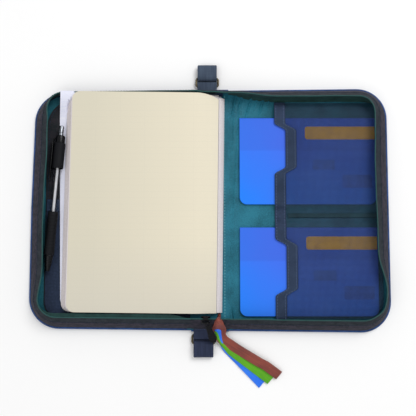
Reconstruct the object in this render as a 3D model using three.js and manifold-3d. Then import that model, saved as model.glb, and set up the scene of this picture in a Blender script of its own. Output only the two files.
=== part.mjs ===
// A zip-round cash deposit case, lying open: two covered boards hinged on a spine panel, with a leaning zip
// wall round each half, a webbing handle behind the spine, a notebook and pen on the left half, and two
// passbooks in pockets on the right half. Millimetres, +Z up, origin on the floor under the spine's middle.

import * as THREE from 'three';
import Module from 'manifold-3d';
import { mergeVertices } from 'three/addons/utils/BufferGeometryUtils.js';

const wasm = await Module();
wasm.setup();

// Driving dimensions
const HALF_WIDTH = 175;
const HALF_DEPTH = 118;
const CORNER_RADIUS = 30;
const FOLD_X = 17;
const GAP = 0.3;
const BOARD_TOP = 2.5;
const LINING_BOTTOM = BOARD_TOP + GAP;
const LINING_TOP = 3.4;
const SPINE_BOTTOM = 2.6;
const SPINE_TOP = 4.2;
const HALF_START = FOLD_X + 1;

// The zip wall: its foot and its top in distance from the outline and height, and how its parts share it
const WALL_FOOT = { inset: 2.4, z: 3.1 };
const WALL_TOP_Z = 17.9;
const CHAIN_Z = 19.2;
const CHAIN_RADIUS = 1;
const PIPING = { inset: 1.7, z: 1.5, radius: 1.3 };
const BOTTOM_LEAN = 12;
const SIDE_LEAN = 15.5;
const UPRIGHT_LEAN = 3;
const RIGHT_TOP_LEAN = 12;
const SPINE_TOP_LEAN = 4.5;
const LEAN_RUN_END = 90;
const CORNER_STEPS = 8;

// The webbing handle and its rings
const WEBBING = { width: 19, thickness: 1.4 };
const TAB = { nearY: 111.5, farY: 125.8, z: 4.8, thickness: 0.6 };
const TOP_END_X = -2.8;
const BOTTOM_END_X = -6.2;
const RING = { halfWidth: 10.75, nearY: 121.3, farY: 130, z: 2.9, wire: 1, corner: 2.5 };

// The notebook, its place and its turn on the left half
const NOTEBOOK = { x: -64, y: 6.3, turn: THREE.MathUtils.degToRad(-0.7), halfHeight: 105, bottom: 6.7, top: 16 };

// The pen, from its button's end to its point
const PEN_START = new THREE.Vector3(-144.3, 80, 12.4);
const PEN_END = new THREE.Vector3(-155.4, -61, 12.4);

// The passbooks and the pocket sheet over them
const PASSBOOK = { left: 29, width: 133, height: 85.5, bottom: 3.7, top: 6.4, corner: 7 };
const UPPER_PASSBOOK_Y = 4;
const LOWER_PASSBOOK_Y = -104;
const POCKET_Z = 6.8;
const DIVIDER_Y = -6.8;

const part = new THREE.Group();

function finish(color, roughness = 0.85, metalness = 0) {
  return { color, roughness, metalness };
}

const NAVY = finish(0x27304a);
const NAVY_EDGE = finish(0x3f4c6e);
const CHARCOAL = finish(0x2f323c, 0.9);
const DARK_GREEN = finish(0x1f3a3d, 0.7);
const TEAL = finish(0x2f7080, 0.6);
const CHAIN_TEAL = finish(0x2f5f66, 0.5);
const SLEEVE = finish(0x30333a, 0.8);
const BINDING = finish(0x35405a, 0.8);
const MESH_TINT = finish(0x2b3f6b, 0.6);
const WEBBING_NAVY = finish(0x353f52, 0.9);
const STEEL = finish(0xb9b7ad, 0.3, 1);
const BLACK_METAL = finish(0x1b1d20, 0.4, 0.6);
const BLACK_RUBBER = finish(0x17181b, 0.7);
const CLEAR_PLASTIC = finish(0x9aa3ab, 0.15);
const WHITE_PLASTIC = finish(0xe9e9ec, 0.4);
const PAPER = finish(0xe3dbc9, 0.9);
const WHITE_PAPER = finish(0xe6dfdc, 0.9);
const CARD = finish(0xd2d5ee, 0.7);
const PASSBOOK_BLUE = finish(0x3f86f5, 0.5);
const BROWN = finish(0x93463a, 0.6);
const GREEN = finish(0x5aaf00, 0.6);
const BLUE = finish(0x2479ff, 0.6);

function add(name, geometry, look, parent = part) {
  const mesh = new THREE.Mesh(geometry, new THREE.MeshStandardMaterial(look));
  mesh.name = name;
  parent.add(mesh);
  return mesh;
}

// Closed skin through equal rings of points; the faces are turned outwards by the sign of the volume.
function loft(rings, closed = false) {
  const sides = rings[0].length;
  const index = [];
  const spans = closed ? rings.length : rings.length - 1;
  for (let i = 0; i < spans; i++) {
    const here = i * sides;
    const next = ((i + 1) % rings.length) * sides;
    for (let j = 0; j < sides; j++) {
      const k = (j + 1) % sides;
      index.push(here + j, next + j, next + k, here + j, next + k, here + k);
    }
  }
  if (!closed) {
    const last = (rings.length - 1) * sides;
    for (let j = 1; j < sides - 1; j++) {
      index.push(0, j, j + 1, last, last + j + 1, last + j);
    }
  }
  const points = rings.flat();
  const corner = (n) => points[index[n]];
  let volume = 0;
  for (let n = 0; n < index.length; n += 3) {
    volume += corner(n).dot(new THREE.Vector3().crossVectors(corner(n + 1), corner(n + 2)));
  }
  if (volume < 0) {
    index.reverse();
  }
  const geometry = new THREE.BufferGeometry().setFromPoints(points);
  geometry.setIndex(index);
  geometry.computeVertexNormals();
  return geometry;
}

// A flat strip along a path; across is half its width, as one vector or one for each point.
function band(path, across, thickness) {
  const rings = path.map((point, i) => {
    const half = Array.isArray(across) ? across[i] : across;
    const along = new THREE.Vector3().subVectors(
      path[Math.min(i + 1, path.length - 1)],
      path[Math.max(i - 1, 0)],
    );
    const up = new THREE.Vector3().crossVectors(along, half).setLength(thickness / 2);
    return [
      point.clone().add(half).add(up),
      point.clone().sub(half).add(up),
      point.clone().sub(half).sub(up),
      point.clone().add(half).sub(up),
    ];
  });
  return loft(rings);
}

// A slab of one outline between two heights.
function slab(shape, bottom, top) {
  const geometry = new THREE.ExtrudeGeometry(shape, {
    depth: top - bottom,
    bevelEnabled: false,
    curveSegments: 8,
  });
  return geometry.translate(0, 0, bottom);
}

// A convex outline in X and Z, run along Y.
function prismAlongY(outline, y0, y1) {
  return loft([y0, y1].map((y) => outline.map(([x, z]) => new THREE.Vector3(x, y, z))));
}

function solidOf(geometry) {
  const bare = geometry.clone();
  bare.deleteAttribute('normal');
  bare.deleteAttribute('uv');
  const merged = mergeVertices(bare, 1e-4);
  return new wasm.Manifold(new wasm.Mesh({
    numProp: 3,
    vertProperties: merged.attributes.position.array,
    triVerts: new Uint32Array(merged.index.array),
  }));
}

function geometryOf(solid) {
  const mesh = solid.getMesh();
  const geometry = new THREE.BufferGeometry();
  geometry.setAttribute('position', new THREE.BufferAttribute(mesh.vertProperties, 3));
  geometry.setIndex(new THREE.BufferAttribute(mesh.triVerts, 1));
  geometry.computeVertexNormals();
  return geometry;
}

function box(low, high) {
  const size = high.map((value, i) => value - low[i]);
  const middle = high.map((value, i) => (value + low[i]) / 2);
  return new THREE.BoxGeometry(...size).translate(...middle);
}

// A rectangle whose corners may be rounded: radii for lower left, lower right, upper right, upper left.
function roundedShape(x0, y0, x1, y1, [ll, lr, ur, ul]) {
  const shape = new THREE.Shape();
  shape.moveTo(x0 + ll, y0);
  shape.lineTo(x1 - lr, y0);
  if (lr) shape.absarc(x1 - lr, y0 + lr, lr, -Math.PI / 2, 0);
  shape.lineTo(x1, y1 - ur);
  if (ur) shape.absarc(x1 - ur, y1 - ur, ur, 0, Math.PI / 2);
  shape.lineTo(x0 + ul, y1);
  if (ul) shape.absarc(x0 + ul, y1 - ul, ul, Math.PI / 2, Math.PI);
  shape.lineTo(x0, y0 + ll);
  if (ll) shape.absarc(x0 + ll, y0 + ll, ll, Math.PI, Math.PI * 1.5);
  return shape;
}

// One half's outline, drawn in by inset, from the fold side out to its two round corners.
function halfShape(side, inset, start = HALF_START) {
  const radius = CORNER_RADIUS - inset;
  const outer = HALF_WIDTH - inset;
  const depth = HALF_DEPTH - inset;
  return side > 0
    ? roundedShape(start, -depth, outer, depth, [0, radius, radius, 0])
    : roundedShape(-outer, -depth, -start, depth, [radius, 0, 0, radius]);
}

// Stations round one half's outline, from the fold along the bottom, the side and the top back to the fold.
// Each has its point on the outline, its outward normal and how far the wall's top leans in there.
function wallStations(side) {
  const cornerX = HALF_WIDTH - CORNER_RADIUS;
  const cornerY = HALF_DEPTH - CORNER_RADIUS;
  const straight = [HALF_START, 40, 60, 90, 118, cornerX];
  const topLean = side > 0 ? RIGHT_TOP_LEAN : UPRIGHT_LEAN;
  const foldLean = side > 0 ? SPINE_TOP_LEAN : UPRIGHT_LEAN;
  const stations = [];
  const put = (x, y, nx, ny, lean) => stations.push({ x: side * x, y, nx: side * nx, ny, lean });
  const turn = (centreY, startAngle, firstStep, lowLean, highLean) => {
    for (let i = firstStep; i < firstStep + CORNER_STEPS; i++) {
      const share = i / CORNER_STEPS;
      const angle = startAngle + share * (Math.PI / 2);
      const [nx, ny] = [Math.cos(angle), Math.sin(angle)];
      const lean = THREE.MathUtils.lerp(lowLean, highLean, share);
      put(cornerX + CORNER_RADIUS * nx, centreY + CORNER_RADIUS * ny, nx, ny, lean);
    }
  };
  for (const x of straight) {
    put(x, -HALF_DEPTH, 0, -1, BOTTOM_LEAN);
  }
  turn(-cornerY, -Math.PI / 2, 1, BOTTOM_LEAN, SIDE_LEAN);
  turn(cornerY, 0, 0, SIDE_LEAN, topLean);
  for (const x of straight.toReversed()) {
    const near = THREE.MathUtils.smoothstep(x, FOLD_X, LEAN_RUN_END);
    put(x, HALF_DEPTH, 0, 1, THREE.MathUtils.lerp(foldLean, topLean, near));
  }
  return stations;
}

function insetPoint(station, inset, z) {
  return new THREE.Vector3(station.x - station.nx * inset, station.y - station.ny * inset, z);
}

// A layer of the leaning wall: rise runs from 0 at the foot to 1 at the top, out is across its thickness.
function wallLayer(side, [lowRise, highRise], [innerOut, outerOut]) {
  const rings = wallStations(side).map((station) => {
    const lean = station.lean - WALL_FOOT.inset;
    const height = WALL_TOP_Z - WALL_FOOT.z;
    const slope = Math.hypot(lean, height);
    const at = (rise, out) => insetPoint(
      station,
      WALL_FOOT.inset + lean * rise - (height / slope) * out,
      WALL_FOOT.z + height * rise + (lean / slope) * out,
    );
    return [
      at(lowRise, innerOut),
      at(highRise, innerOut),
      at(highRise, outerOut),
      at(lowRise, outerOut),
    ];
  });
  return loft(rings);
}

// A round cord that follows the outline at one inset and height.
function outlineCord(side, insetOf, z, radius) {
  const points = wallStations(side).map((station) => insetPoint(station, insetOf(station), z));
  const sides = 8;
  const rings = points.map((point, i) => {
    const before = points[Math.max(i - 1, 0)];
    const after = points[Math.min(i + 1, points.length - 1)];
    const along = new THREE.Vector3().subVectors(after, before).normalize();
    const out = new THREE.Vector3(along.y, -along.x, 0);
    return Array.from({ length: sides }, (_, k) => {
      const angle = ((k + 0.5) / sides) * Math.PI * 2;
      return point.clone()
        .addScaledVector(out, radius * Math.cos(angle))
        .add(new THREE.Vector3(0, 0, radius * Math.sin(angle)));
    });
  });
  return loft(rings);
}

function buildHalf(side) {
  const name = side > 0 ? 'right' : 'left';
  add(`${name}_cover`, slab(halfShape(side, 3.2), 0, BOARD_TOP), NAVY);
  add(`${name}_piping`, outlineCord(side, () => PIPING.inset, PIPING.z, PIPING.radius), NAVY_EDGE);
  add(`${name}_lining`, slab(halfShape(side, 5), LINING_BOTTOM, LINING_TOP), TEAL);
  add(`${name}_gusset`, wallLayer(side, [0, 0.58], [0, 1]), CHARCOAL);
  add(`${name}_zip_tape`, wallLayer(side, [0.6, 1], [0.2, 0.8]), CHARCOAL);
  add(`${name}_gusset_lining`, wallLayer(side, [0.06, 0.74], [-0.9, -0.3]), DARK_GREEN);
  add(`${name}_zip_chain`, outlineCord(side, (station) => station.lean, CHAIN_Z, CHAIN_RADIUS), CHAIN_TEAL);
}

// The sleeve that takes the notebook's back cover, and the pocket across its lower part.
function buildLeftPockets() {
  const inner = -(FOLD_X + 2);
  const bindingY = [-3, 9];
  add('sleeve_panel', slab(roundedShape(-160, -106, inner, 108, [16, 0, 0, 26]), 3.7, 4.3), SLEEVE);
  add('lower_pocket', slab(roundedShape(-159, -105, inner, bindingY[0] - GAP, [15, 0, 0, 0]), 4.6, 5.1), NAVY);
  add('lower_pocket_binding', box([-159, bindingY[0], 4.6], [inner, bindingY[1], 5.3]), BINDING);
}

function buildSpine() {
  const panelHalf = FOLD_X - 0.5;
  add('spine_panel', box([-panelHalf, -HALF_DEPTH, SPINE_BOTTOM], [panelHalf, HALF_DEPTH, SPINE_TOP]), NAVY);
  add('spine_lining', box([-panelHalf, -111, SPINE_TOP + GAP], [panelHalf, 111, 5.1]), TEAL);
  for (const [name, x, side] of [['top', TOP_END_X, 1], ['bottom', BOTTOM_END_X, -1]]) {
    const half = new THREE.Vector3(WEBBING.width / 2, 0, 0);
    const along = [TAB.nearY, TAB.farY].map((y) => new THREE.Vector3(x, side * y, TAB.z));
    add(`${name}_tab`, band(along, half, TAB.thickness), WEBBING_NAVY);
    add(`ring_${name}`, ringGeometry(x, side), STEEL);
    add(`handle_${name}_end`, webbingEnd(x, side), WEBBING_NAVY);
  }
  const gripEnd = HALF_DEPTH - 0.2;
  const grip = [
    new THREE.Vector3(BOTTOM_END_X, -gripEnd, WEBBING.thickness / 2),
    new THREE.Vector3(TOP_END_X, gripEnd, WEBBING.thickness / 2),
  ];
  add('handle_grip', band(grip, new THREE.Vector3(WEBBING.width / 2, 0, 0), WEBBING.thickness), WEBBING_NAVY);
}

// The handle's end runs out under the ring, turns over and comes back down through it.
function webbingEnd(x, side) {
  const thickness = 1.2;
  const route = [
    [118.2, 0.8],
    [139, 0.8],
    [141.8, 1.9],
    [142.4, 3.7],
    [141.6, 5.6],
    [139, 6.6],
    [131, 6.6],
    [128.7, 6],
    [127.5, 4.5],
    [127.4, 2.4],
  ];
  const path = route.map(([y, z]) => new THREE.Vector3(x, side * y, z));
  return band(path, new THREE.Vector3(WEBBING.width / 2, 0, 0), thickness);
}

// A rounded rectangle of round wire, lying flat.
function ringGeometry(x, side) {
  const { halfWidth, nearY, farY, z, wire, corner } = RING;
  const outline = roundedShape(-halfWidth, nearY, halfWidth, farY, [corner, corner, corner, corner]);
  const points = outline.getPoints(4).slice(0, -1);
  const sides = 8;
  const rings = points.map((point, i) => {
    const before = points[(i + points.length - 1) % points.length];
    const after = points[(i + 1) % points.length];
    const out = new THREE.Vector2(after.y - before.y, before.x - after.x).normalize();
    return Array.from({ length: sides }, (_, k) => {
      const angle = (k / sides) * Math.PI * 2;
      const reach = wire * Math.cos(angle);
      return new THREE.Vector3(
        x + point.x + out.x * reach,
        side * (point.y + out.y * reach),
        z + wire * Math.sin(angle),
      );
    });
  });
  return loft(rings, true);
}

// The slider hugs the left half's chain: two plates joined by a post, open towards the tape.
function buildSlider() {
  const group = new THREE.Group();
  group.position.set(-4, -(HALF_DEPTH - BOTTOM_LEAN), CHAIN_Z);
  group.rotation.x = Math.atan2(WALL_TOP_Z - WALL_FOOT.z, BOTTOM_LEAN - WALL_FOOT.inset);
  part.add(group);
  const length = 9;
  const face = 2.3;
  const channel = 1.35;
  const tail = -5.2;
  const head = 1.9;
  const section = new THREE.Shape();
  for (const [i, [out, along]] of [
    [face, tail],
    [face, head],
    [-face, head],
    [-face, tail],
    [-channel, tail],
    [-channel, head - 0.6],
    [channel, head - 0.6],
    [channel, tail],
  ].entries()) {
    if (i) section.lineTo(-out, along);
    else section.moveTo(-out, along);
  }
  const body = new THREE.ExtrudeGeometry(section, { depth: length, bevelEnabled: false });
  add('zip_slider', body.rotateY(Math.PI / 2).translate(-length / 2, 0, 0), BLACK_METAL, group);
  const bridge = [
    [-3, face + GAP],
    [-3, face + 1.6],
    [3, face + 1.6],
    [3, face + GAP],
  ].map(([x, out]) => new THREE.Vector3(x, -1.5, out));
  add('zip_bridge', band(bridge, new THREE.Vector3(0, 0.6, 0), 0.7), BLACK_METAL, group);
  const hinge = new THREE.Vector3(-2.4, -111.4, 21);
  const tip = new THREE.Vector3(4, -128, 9.6);
  const along = new THREE.Vector3().subVectors(tip, hinge);
  const across = new THREE.Vector3(along.y, -along.x, 0).setLength(3.75);
  add('zip_pull', band([hinge, tip], across, 1.2), BLACK_METAL);
}

// A closed tube or rod turned about the pen's axis; the profile is radius against distance from the button.
function turned(profile) {
  const points = profile.map(([radius, along]) => new THREE.Vector2(radius, along));
  return new THREE.LatheGeometry(points, 20);
}

function buildPen() {
  const axis = new THREE.Vector3().subVectors(PEN_END, PEN_START);
  const group = new THREE.Group();
  group.position.copy(PEN_START);
  group.quaternion.setFromUnitVectors(new THREE.Vector3(0, 1, 0), axis.normalize());
  part.add(group);
  const length = PEN_START.distanceTo(PEN_END);
  const gripStart = 84;
  const gripEnd = 126;
  const tube = (inner, outer, from, to) => turned([
    [inner, from],
    [outer, from],
    [outer, to],
    [inner, to],
    [inner, from],
  ]);
  add('pen_barrel', tube(3.1, 4.2, 10.6, gripStart), CLEAR_PLASTIC, group);
  add('pen_grip', tube(2, 4.9, gripStart + GAP, gripEnd), BLACK_RUBBER, group);
  add('pen_tip', turned([
    [1.5, gripEnd + GAP],
    [4, gripEnd + GAP],
    [1.9, length],
    [1.5, length],
    [1.5, gripEnd + GAP],
  ]), STEEL, group);
  add('pen_button', turned([[0, 0], [2.1, 0], [2.5, 0.8], [2.5, 12], [0, 12]]), STEEL, group);
  add('pen_refill', turned([[0, 12.3], [1.25, 12.3], [1.25, 132], [0.6, 137], [0, 137.4]]), WHITE_PLASTIC, group);
  const clip = [
    [4.6, 13],
    [6.6, 13.6],
    [6.6, 52],
    [6, 54.5],
  ].map(([out, along]) => new THREE.Vector3(-out, along, 0));
  const clipSide = PEN_START.x > PEN_END.x ? 1 : -1;
  clip.forEach((point) => { point.x *= clipSide; });
  add('pen_clip', band(clip, new THREE.Vector3(0, 0, 1.9), 0.8), STEEL, group);
  add('pen_loop', tube(4.6, 5.5, 17, 42), BLACK_RUBBER, group);
}

// The notebook lies open at its last page, its leaves fanned out on the left and falling to its spine.
function buildNotebook() {
  const { x, y, turn, halfHeight, bottom, top } = NOTEBOOK;
  add('notebook_cover', slab(coverShape(), 5.6, 6.4), CARD);
  const group = new THREE.Group();
  group.position.set(x, y, 0);
  group.rotation.z = turn;
  part.add(group);
  const block = [
    [-77, bottom],
    [71.5, bottom],
    [71.5, 12.4],
    [66, 14.5],
    [52, 15.7],
    [40, top],
    [-70.7, top],
  ];
  add('notebook_pages', prismAlongY(block, -halfHeight, halfHeight), WHITE_PAPER, group);
  const leaf = [
    [-70.9, top + 0.5],
    [40, top + 0.5],
    [52, top + 0.2],
    [66, 15.1],
    [71, 13.2],
  ].map(([along, z]) => new THREE.Vector3(along, 0, z));
  add('notebook_leaf', band(leaf, new THREE.Vector3(0, halfHeight, 0), 0.3), PAPER, group);
  const strip = [
    [71.9, bottom],
    [77, bottom],
    [76.6, 8.4],
    [71.9, 12],
  ];
  add('notebook_endpaper', prismAlongY(strip, 1 - halfHeight, halfHeight - 1), WHITE_PAPER, group);
}

// The notebook's back cover: a card a little out of square, with one round corner.
function coverShape() {
  const radius = 12;
  const shape = new THREE.Shape();
  shape.moveTo(-143.5 + radius, -98.8);
  shape.lineTo(11, -98.8);
  shape.lineTo(11, 110.5);
  shape.lineTo(-148, 112.8);
  shape.lineTo(-143.5, -98.8 + radius);
  shape.absarc(-143.5 + radius, -98.8 + radius, radius, Math.PI, Math.PI * 1.5);
  return shape;
}

// Three bookmark ribbons come over the wall at the spine's bottom end and fan out on the floor.
function buildRibbons() {
  const halfWidth = 4.6;
  const start = [
    [5.5, -101, 13],
    [7, -104.6, 19.6],
    [8, -107, 21.2],
    [9.3, -111.6, 15.6],
    [10, -118.5, 7.6],
    [12.5, -122.8, 4],
    [20, -129, 1.6],
  ].map((place) => new THREE.Vector3(...place));
  const outward = new THREE.Vector3(0.65, 0.76, 0);
  const turns = [0, 0, 0, 0, 0.25, 0.7, 1, 1];
  const drift = [0.8, 0.7, 0, -0.7, -0.7, -0.5, -0.3];
  const across = turns.map((turn) => new THREE.Vector3(1, 0, 0).lerp(outward, turn).setLength(halfWidth));
  const ribbons = [
    ['ribbon_blue', BLUE, [49.8, -168.5]],
    ['ribbon_green', GREEN, [57.9, -164.7]],
    ['ribbon_brown', BROWN, [66, -160.2]],
  ];
  ribbons.forEach(([name, look, [endX, endY]], layer) => {
    const path = start.map((point, i) => point.clone().add(new THREE.Vector3(0, drift[i] * layer, 1.3 * layer)));
    path.push(new THREE.Vector3(endX, endY, 0.4 + layer));
    add(name, band(path, across, 0.3), look);
  });
}

// A passbook: a card folded along its top edge round a few leaves.
function buildPassbook(name, y0) {
  const { left, width, height, bottom, top, corner } = PASSBOOK;
  const card = 0.45;
  const y1 = y0 + height;
  const outline = roundedShape(left, y0, left + width, y1, [corner, corner, 0, 0]);
  const slot = box([left - 1, y0 - 1, bottom + card], [left + width + 1, y1 - 1, top - card]);
  const cover = solidOf(slab(outline, bottom, top)).subtract(solidOf(slot));
  add(`${name}_passbook_cover`, geometryOf(cover), PASSBOOK_BLUE);
  const leaves = roundedShape(left + 1, y0 + 1, left + width - 1, y1 - 1.5, [corner, corner, 0, 0]);
  add(`${name}_passbook_pages`, slab(leaves, bottom + card + 0.2, top - card - 0.2), WHITE_PAPER);
}

// Where the pocket's mouth lies: it steps back at a thumb notch in each pocket.
function mouthX(y) {
  const notch = (low, high) => {
    const slope = 8;
    const inside = Math.min(y - low, high - y) / slope;
    return THREE.MathUtils.clamp(inside, 0, 1);
  };
  return 63 + 10.8 * Math.max(notch(33, 84), notch(-85, -29));
}

// How high the pocket sheet lies: down on the lining at its ends and its divider, up over the passbooks.
function pocketRise(y) {
  const upper = Math.min(y - DIVIDER_Y - 4, 105 - y) / 6;
  const lower = Math.min(DIVIDER_Y - 4 - y, y + 110.2) / 5;
  return THREE.MathUtils.clamp(Math.max(upper, lower), 0, 1);
}

function buildPockets() {
  const stations = [-109.4, -105.2, -93, -85, -77, -60, -37, -29, -16, -11, -9, -4.6, -2.8, 3, 20, 33, 41, 60,
    76, 84, 92, 99, 105];
  const sheet = 0.5;
  const zAt = (y) => THREE.MathUtils.lerp(LINING_TOP + GAP, POCKET_Z, pocketRise(y));
  const outerX = (y) => {
    const over = Math.max(Math.abs(y) - (HALF_DEPTH - CORNER_RADIUS), 0);
    return HALF_WIDTH - CORNER_RADIUS + Math.sqrt((CORNER_RADIUS - 8.4) ** 2 - over ** 2);
  };
  const strip = (from, to, lift, thickness) => loft(stations.map((y) => {
    const low = zAt(y) + lift;
    return [
      new THREE.Vector3(from(y), y, low),
      new THREE.Vector3(to(y), y, low),
      new THREE.Vector3(to(y), y, low + thickness),
      new THREE.Vector3(from(y), y, low + thickness),
    ];
  }));
  add('pocket_mesh', strip((y) => mouthX(y) + 1, outerX, 0, sheet), MESH_TINT);
  add('pocket_edge', strip(mouthX, (y) => mouthX(y) + 10.7, sheet + GAP, 0.8), BINDING);
  add('pocket_divider', box([76, DIVIDER_Y - 2, 4.6], [165, DIVIDER_Y + 2, 5.2]), BINDING);
}

buildHalf(-1);
buildHalf(1);
buildLeftPockets();
buildSpine();
buildSlider();
buildPen();
buildNotebook();
buildRibbons();
buildPassbook('upper', UPPER_PASSBOOK_Y);
buildPassbook('lower', LOWER_PASSBOOK_Y);
buildPockets();

export default part;
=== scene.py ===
import math
import random

import bmesh
import bpy
import numpy as np
from mathutils import Matrix, Vector, noise


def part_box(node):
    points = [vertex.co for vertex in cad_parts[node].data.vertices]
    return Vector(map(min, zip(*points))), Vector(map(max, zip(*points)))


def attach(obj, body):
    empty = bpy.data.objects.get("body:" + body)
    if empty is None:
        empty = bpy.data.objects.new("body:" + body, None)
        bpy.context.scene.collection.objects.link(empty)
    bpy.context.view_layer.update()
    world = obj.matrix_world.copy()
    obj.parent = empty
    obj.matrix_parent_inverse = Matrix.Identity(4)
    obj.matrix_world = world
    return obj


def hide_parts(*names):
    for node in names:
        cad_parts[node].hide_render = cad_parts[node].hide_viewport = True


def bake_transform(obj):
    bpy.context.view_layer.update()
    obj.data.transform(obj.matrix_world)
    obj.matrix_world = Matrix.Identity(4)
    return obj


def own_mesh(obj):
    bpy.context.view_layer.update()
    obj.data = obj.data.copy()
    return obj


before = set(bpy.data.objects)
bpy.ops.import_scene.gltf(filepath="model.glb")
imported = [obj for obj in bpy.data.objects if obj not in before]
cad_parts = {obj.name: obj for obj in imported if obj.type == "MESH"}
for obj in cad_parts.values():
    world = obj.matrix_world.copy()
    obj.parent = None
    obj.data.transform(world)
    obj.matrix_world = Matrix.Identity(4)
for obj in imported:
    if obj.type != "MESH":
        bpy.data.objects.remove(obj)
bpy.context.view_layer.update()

MM = 0.001
CORNER_RADIUS = 30 * MM
WALL_FOOT_INSET = 2.9 * MM
WALL_FOOT_Z = 3.1 * MM
SPINE_FOOT_Z = 5.2 * MM
PIPING_INSET = 1.7 * MM
STITCH_THREAD = 0.35 * MM

random.seed(7)


# Places, all from the frame

def low(node):
    return Vector(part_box(node)[0])


def high(node):
    return Vector(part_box(node)[1])


def centre(node):
    return (low(node) + high(node)) / 2


def footprint(node):
    """A node's box from above: its low X and Y, then its high X and Y."""
    return low(node).x, low(node).y, high(node).x, high(node).y


HALF_WIDTH = high("right_piping").x + 0.4 * MM
HALF_DEPTH = high("right_piping").y + 0.5 * MM
FOLD = low("right_cover").x
SPINE_HALF = high("spine_panel").x
WALL_TOP_Z = high("right_zip_tape").z
CHAIN_Z = centre("right_zip_chain").z
LINING_Z = high("right_lining").z
SPINE_LINING_Z = high("spine_lining").z

# How far the wall's top leans in along each side edge, as (place along Y, lean) in mm
SIDE_LEANS = {
    1: [(-118, 12), (-98, 9), (-78, 7.5), (-42, 15), (30, 16), (118, 15)],
    -1: [(-118, 11), (-92, 12), (-60, 15.5), (15, 15.8), (60, 16.8), (118, 16)],
}
BOTTOM_LEAN = 12 * MM
LEFT_TOP_LEAN = 3.4 * MM
RIGHT_TOP_LEAN = 11 * MM
SPINE_TOP_LEAN = 6.5 * MM
LEFT_TOP_DROP = 3.4 * MM
SHELL_TAPER = 0.018
LEFT_TOP_TUCK = 2.5 * MM
# How far the loose lining's foot reaches in past the wall's top, on the right half and on the left
LOOSE_PAST = {1: 2.2 * MM, -1: 3.4 * MM}
# Places across a flat strip, between its two edges
STRIP_ACROSS = (-0.94, -0.5, 0, 0.5, 0.94)


def ease(value, table):
    """A smooth step from each entry of a table of (place, amount) to the next."""
    if value <= table[0][0]:
        return table[0][1]
    for (a, first), (b, second) in zip(table, table[1:]):
        if value <= b:
            t = (value - a) / (b - a)
            return first + (second - first) * t * t * (3 - 2 * t)
    return table[-1][1]


def smooth(points, step):
    """Points about every step on a curve through the given rows of numbers; the first three are a place."""
    rows = np.array(points, float)
    padded_rows = np.vstack([2 * rows[0] - rows[1], rows, 2 * rows[-1] - rows[-2]])
    found = []
    for i in range(1, len(padded_rows) - 2):
        p0, p1, p2, p3 = padded_rows[i - 1:i + 3]
        count = max(1, round(float(np.linalg.norm((p2 - p1)[:3])) / step))
        for k in range(count):
            t = k / count
            found.append(0.5 * (2 * p1 + (p2 - p0) * t + (2 * p0 - 5 * p1 + 4 * p2 - p3) * t * t
                                + (3 * p1 - p0 - 3 * p2 + p3) * t ** 3))
    found.append(rows[-1])
    return found


# Mesh building

def mesh_object(name, points, faces, look, uvs=None, sharp=35):
    mesh = bpy.data.meshes.new(name)
    mesh.from_pydata([tuple(p) for p in points], [], faces)
    if uvs:
        layer = mesh.uv_layers.new(name="UVMap")
        layer.data.foreach_set("uv", np.array(uvs, np.float32).ravel())
    work = bmesh.new()
    work.from_mesh(mesh)
    bmesh.ops.recalc_face_normals(work, faces=work.faces)
    work.to_mesh(mesh)
    work.free()
    mesh.polygons.foreach_set("use_smooth", [True] * len(mesh.polygons))
    mesh.set_sharp_from_angle(angle=math.radians(sharp))
    mesh.materials.append(look)
    piece = bpy.data.objects.new(name, mesh)
    bpy.context.scene.collection.objects.link(piece)
    return piece


def loft_parts(rings, closed=False):
    """The points, faces and metric UVs of a skin through equal rings of points."""
    count, sides = len(rings), len(rings[0])
    middles = [sum(ring, Vector()) / sides for ring in rings]
    along = [0.0]
    for i in range(count if closed else count - 1):
        along.append(along[-1] + (middles[(i + 1) % count] - middles[i]).length)
    around = [0.0]
    for j in range(sides):
        around.append(around[-1] + (rings[0][(j + 1) % sides] - rings[0][j]).length)
    faces, uvs = [], []
    for i in range(count if closed else count - 1):
        here, there = i * sides, (i + 1) % count * sides
        for j in range(sides):
            k = (j + 1) % sides
            faces.append((here + j, there + j, there + k, here + k))
            uvs += [(along[i], around[j]), (along[i + 1], around[j]),
                    (along[i + 1], around[j + 1]), (along[i], around[j + 1])]
    if not closed:
        for first in (0, (count - 1) * sides):
            faces.append(tuple(range(first, first + sides)))
            uvs += [(p.x, p.y) for p in rings[first // sides]]
    return [p for ring in rings for p in ring], faces, uvs


def loft(name, rings, look, closed=False, sharp=35):
    points, faces, uvs = loft_parts(rings, closed)
    return mesh_object(name, points, faces, look, uvs, sharp)


def tube_rings(path, radius, sides=10, closed=False):
    """Round sections along a path, turned as little as can be from one to the next."""
    count = len(path)
    rings, up = [], Vector((0, 0, 1))
    for i, point in enumerate(path):
        before = path[(i - 1) % count] if closed else path[max(i - 1, 0)]
        after = path[(i + 1) % count] if closed else path[min(i + 1, count - 1)]
        along = (after - before).normalized()
        if abs(along.dot(up)) > 0.95:
            up = along.orthogonal()
        up = (up - along * up.dot(along)).normalized()
        side = along.cross(up)
        rings.append([point + radius * (math.cos(a) * side + math.sin(a) * up)
                      for a in (2 * math.pi * k / sides for k in range(sides))])
    return rings


def tube(name, path, radius, look, sides=10, closed=False):
    return loft(name, tube_rings(path, radius, sides, closed), look, closed)


def strip_rings(path, halves, thickness, crown=0.0):
    """Flat sections along a path, half a width to each side, with round edges and a crown in the middle."""
    rings = []
    for i, point in enumerate(path):
        along = path[min(i + 1, len(path) - 1)] - path[max(i - 1, 0)]
        half = halves[i]
        up = along.cross(half).normalized()
        upper = [point + half * t + up * (thickness / 2 + crown * (1 - t * t)) for t in STRIP_ACROSS]
        lower = [point + half * t + up * (crown * (1 - t * t) - thickness / 2) for t in STRIP_ACROSS[::-1]]
        rings.append([point - half, *upper, point + half, *lower])
    return rings


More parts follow.
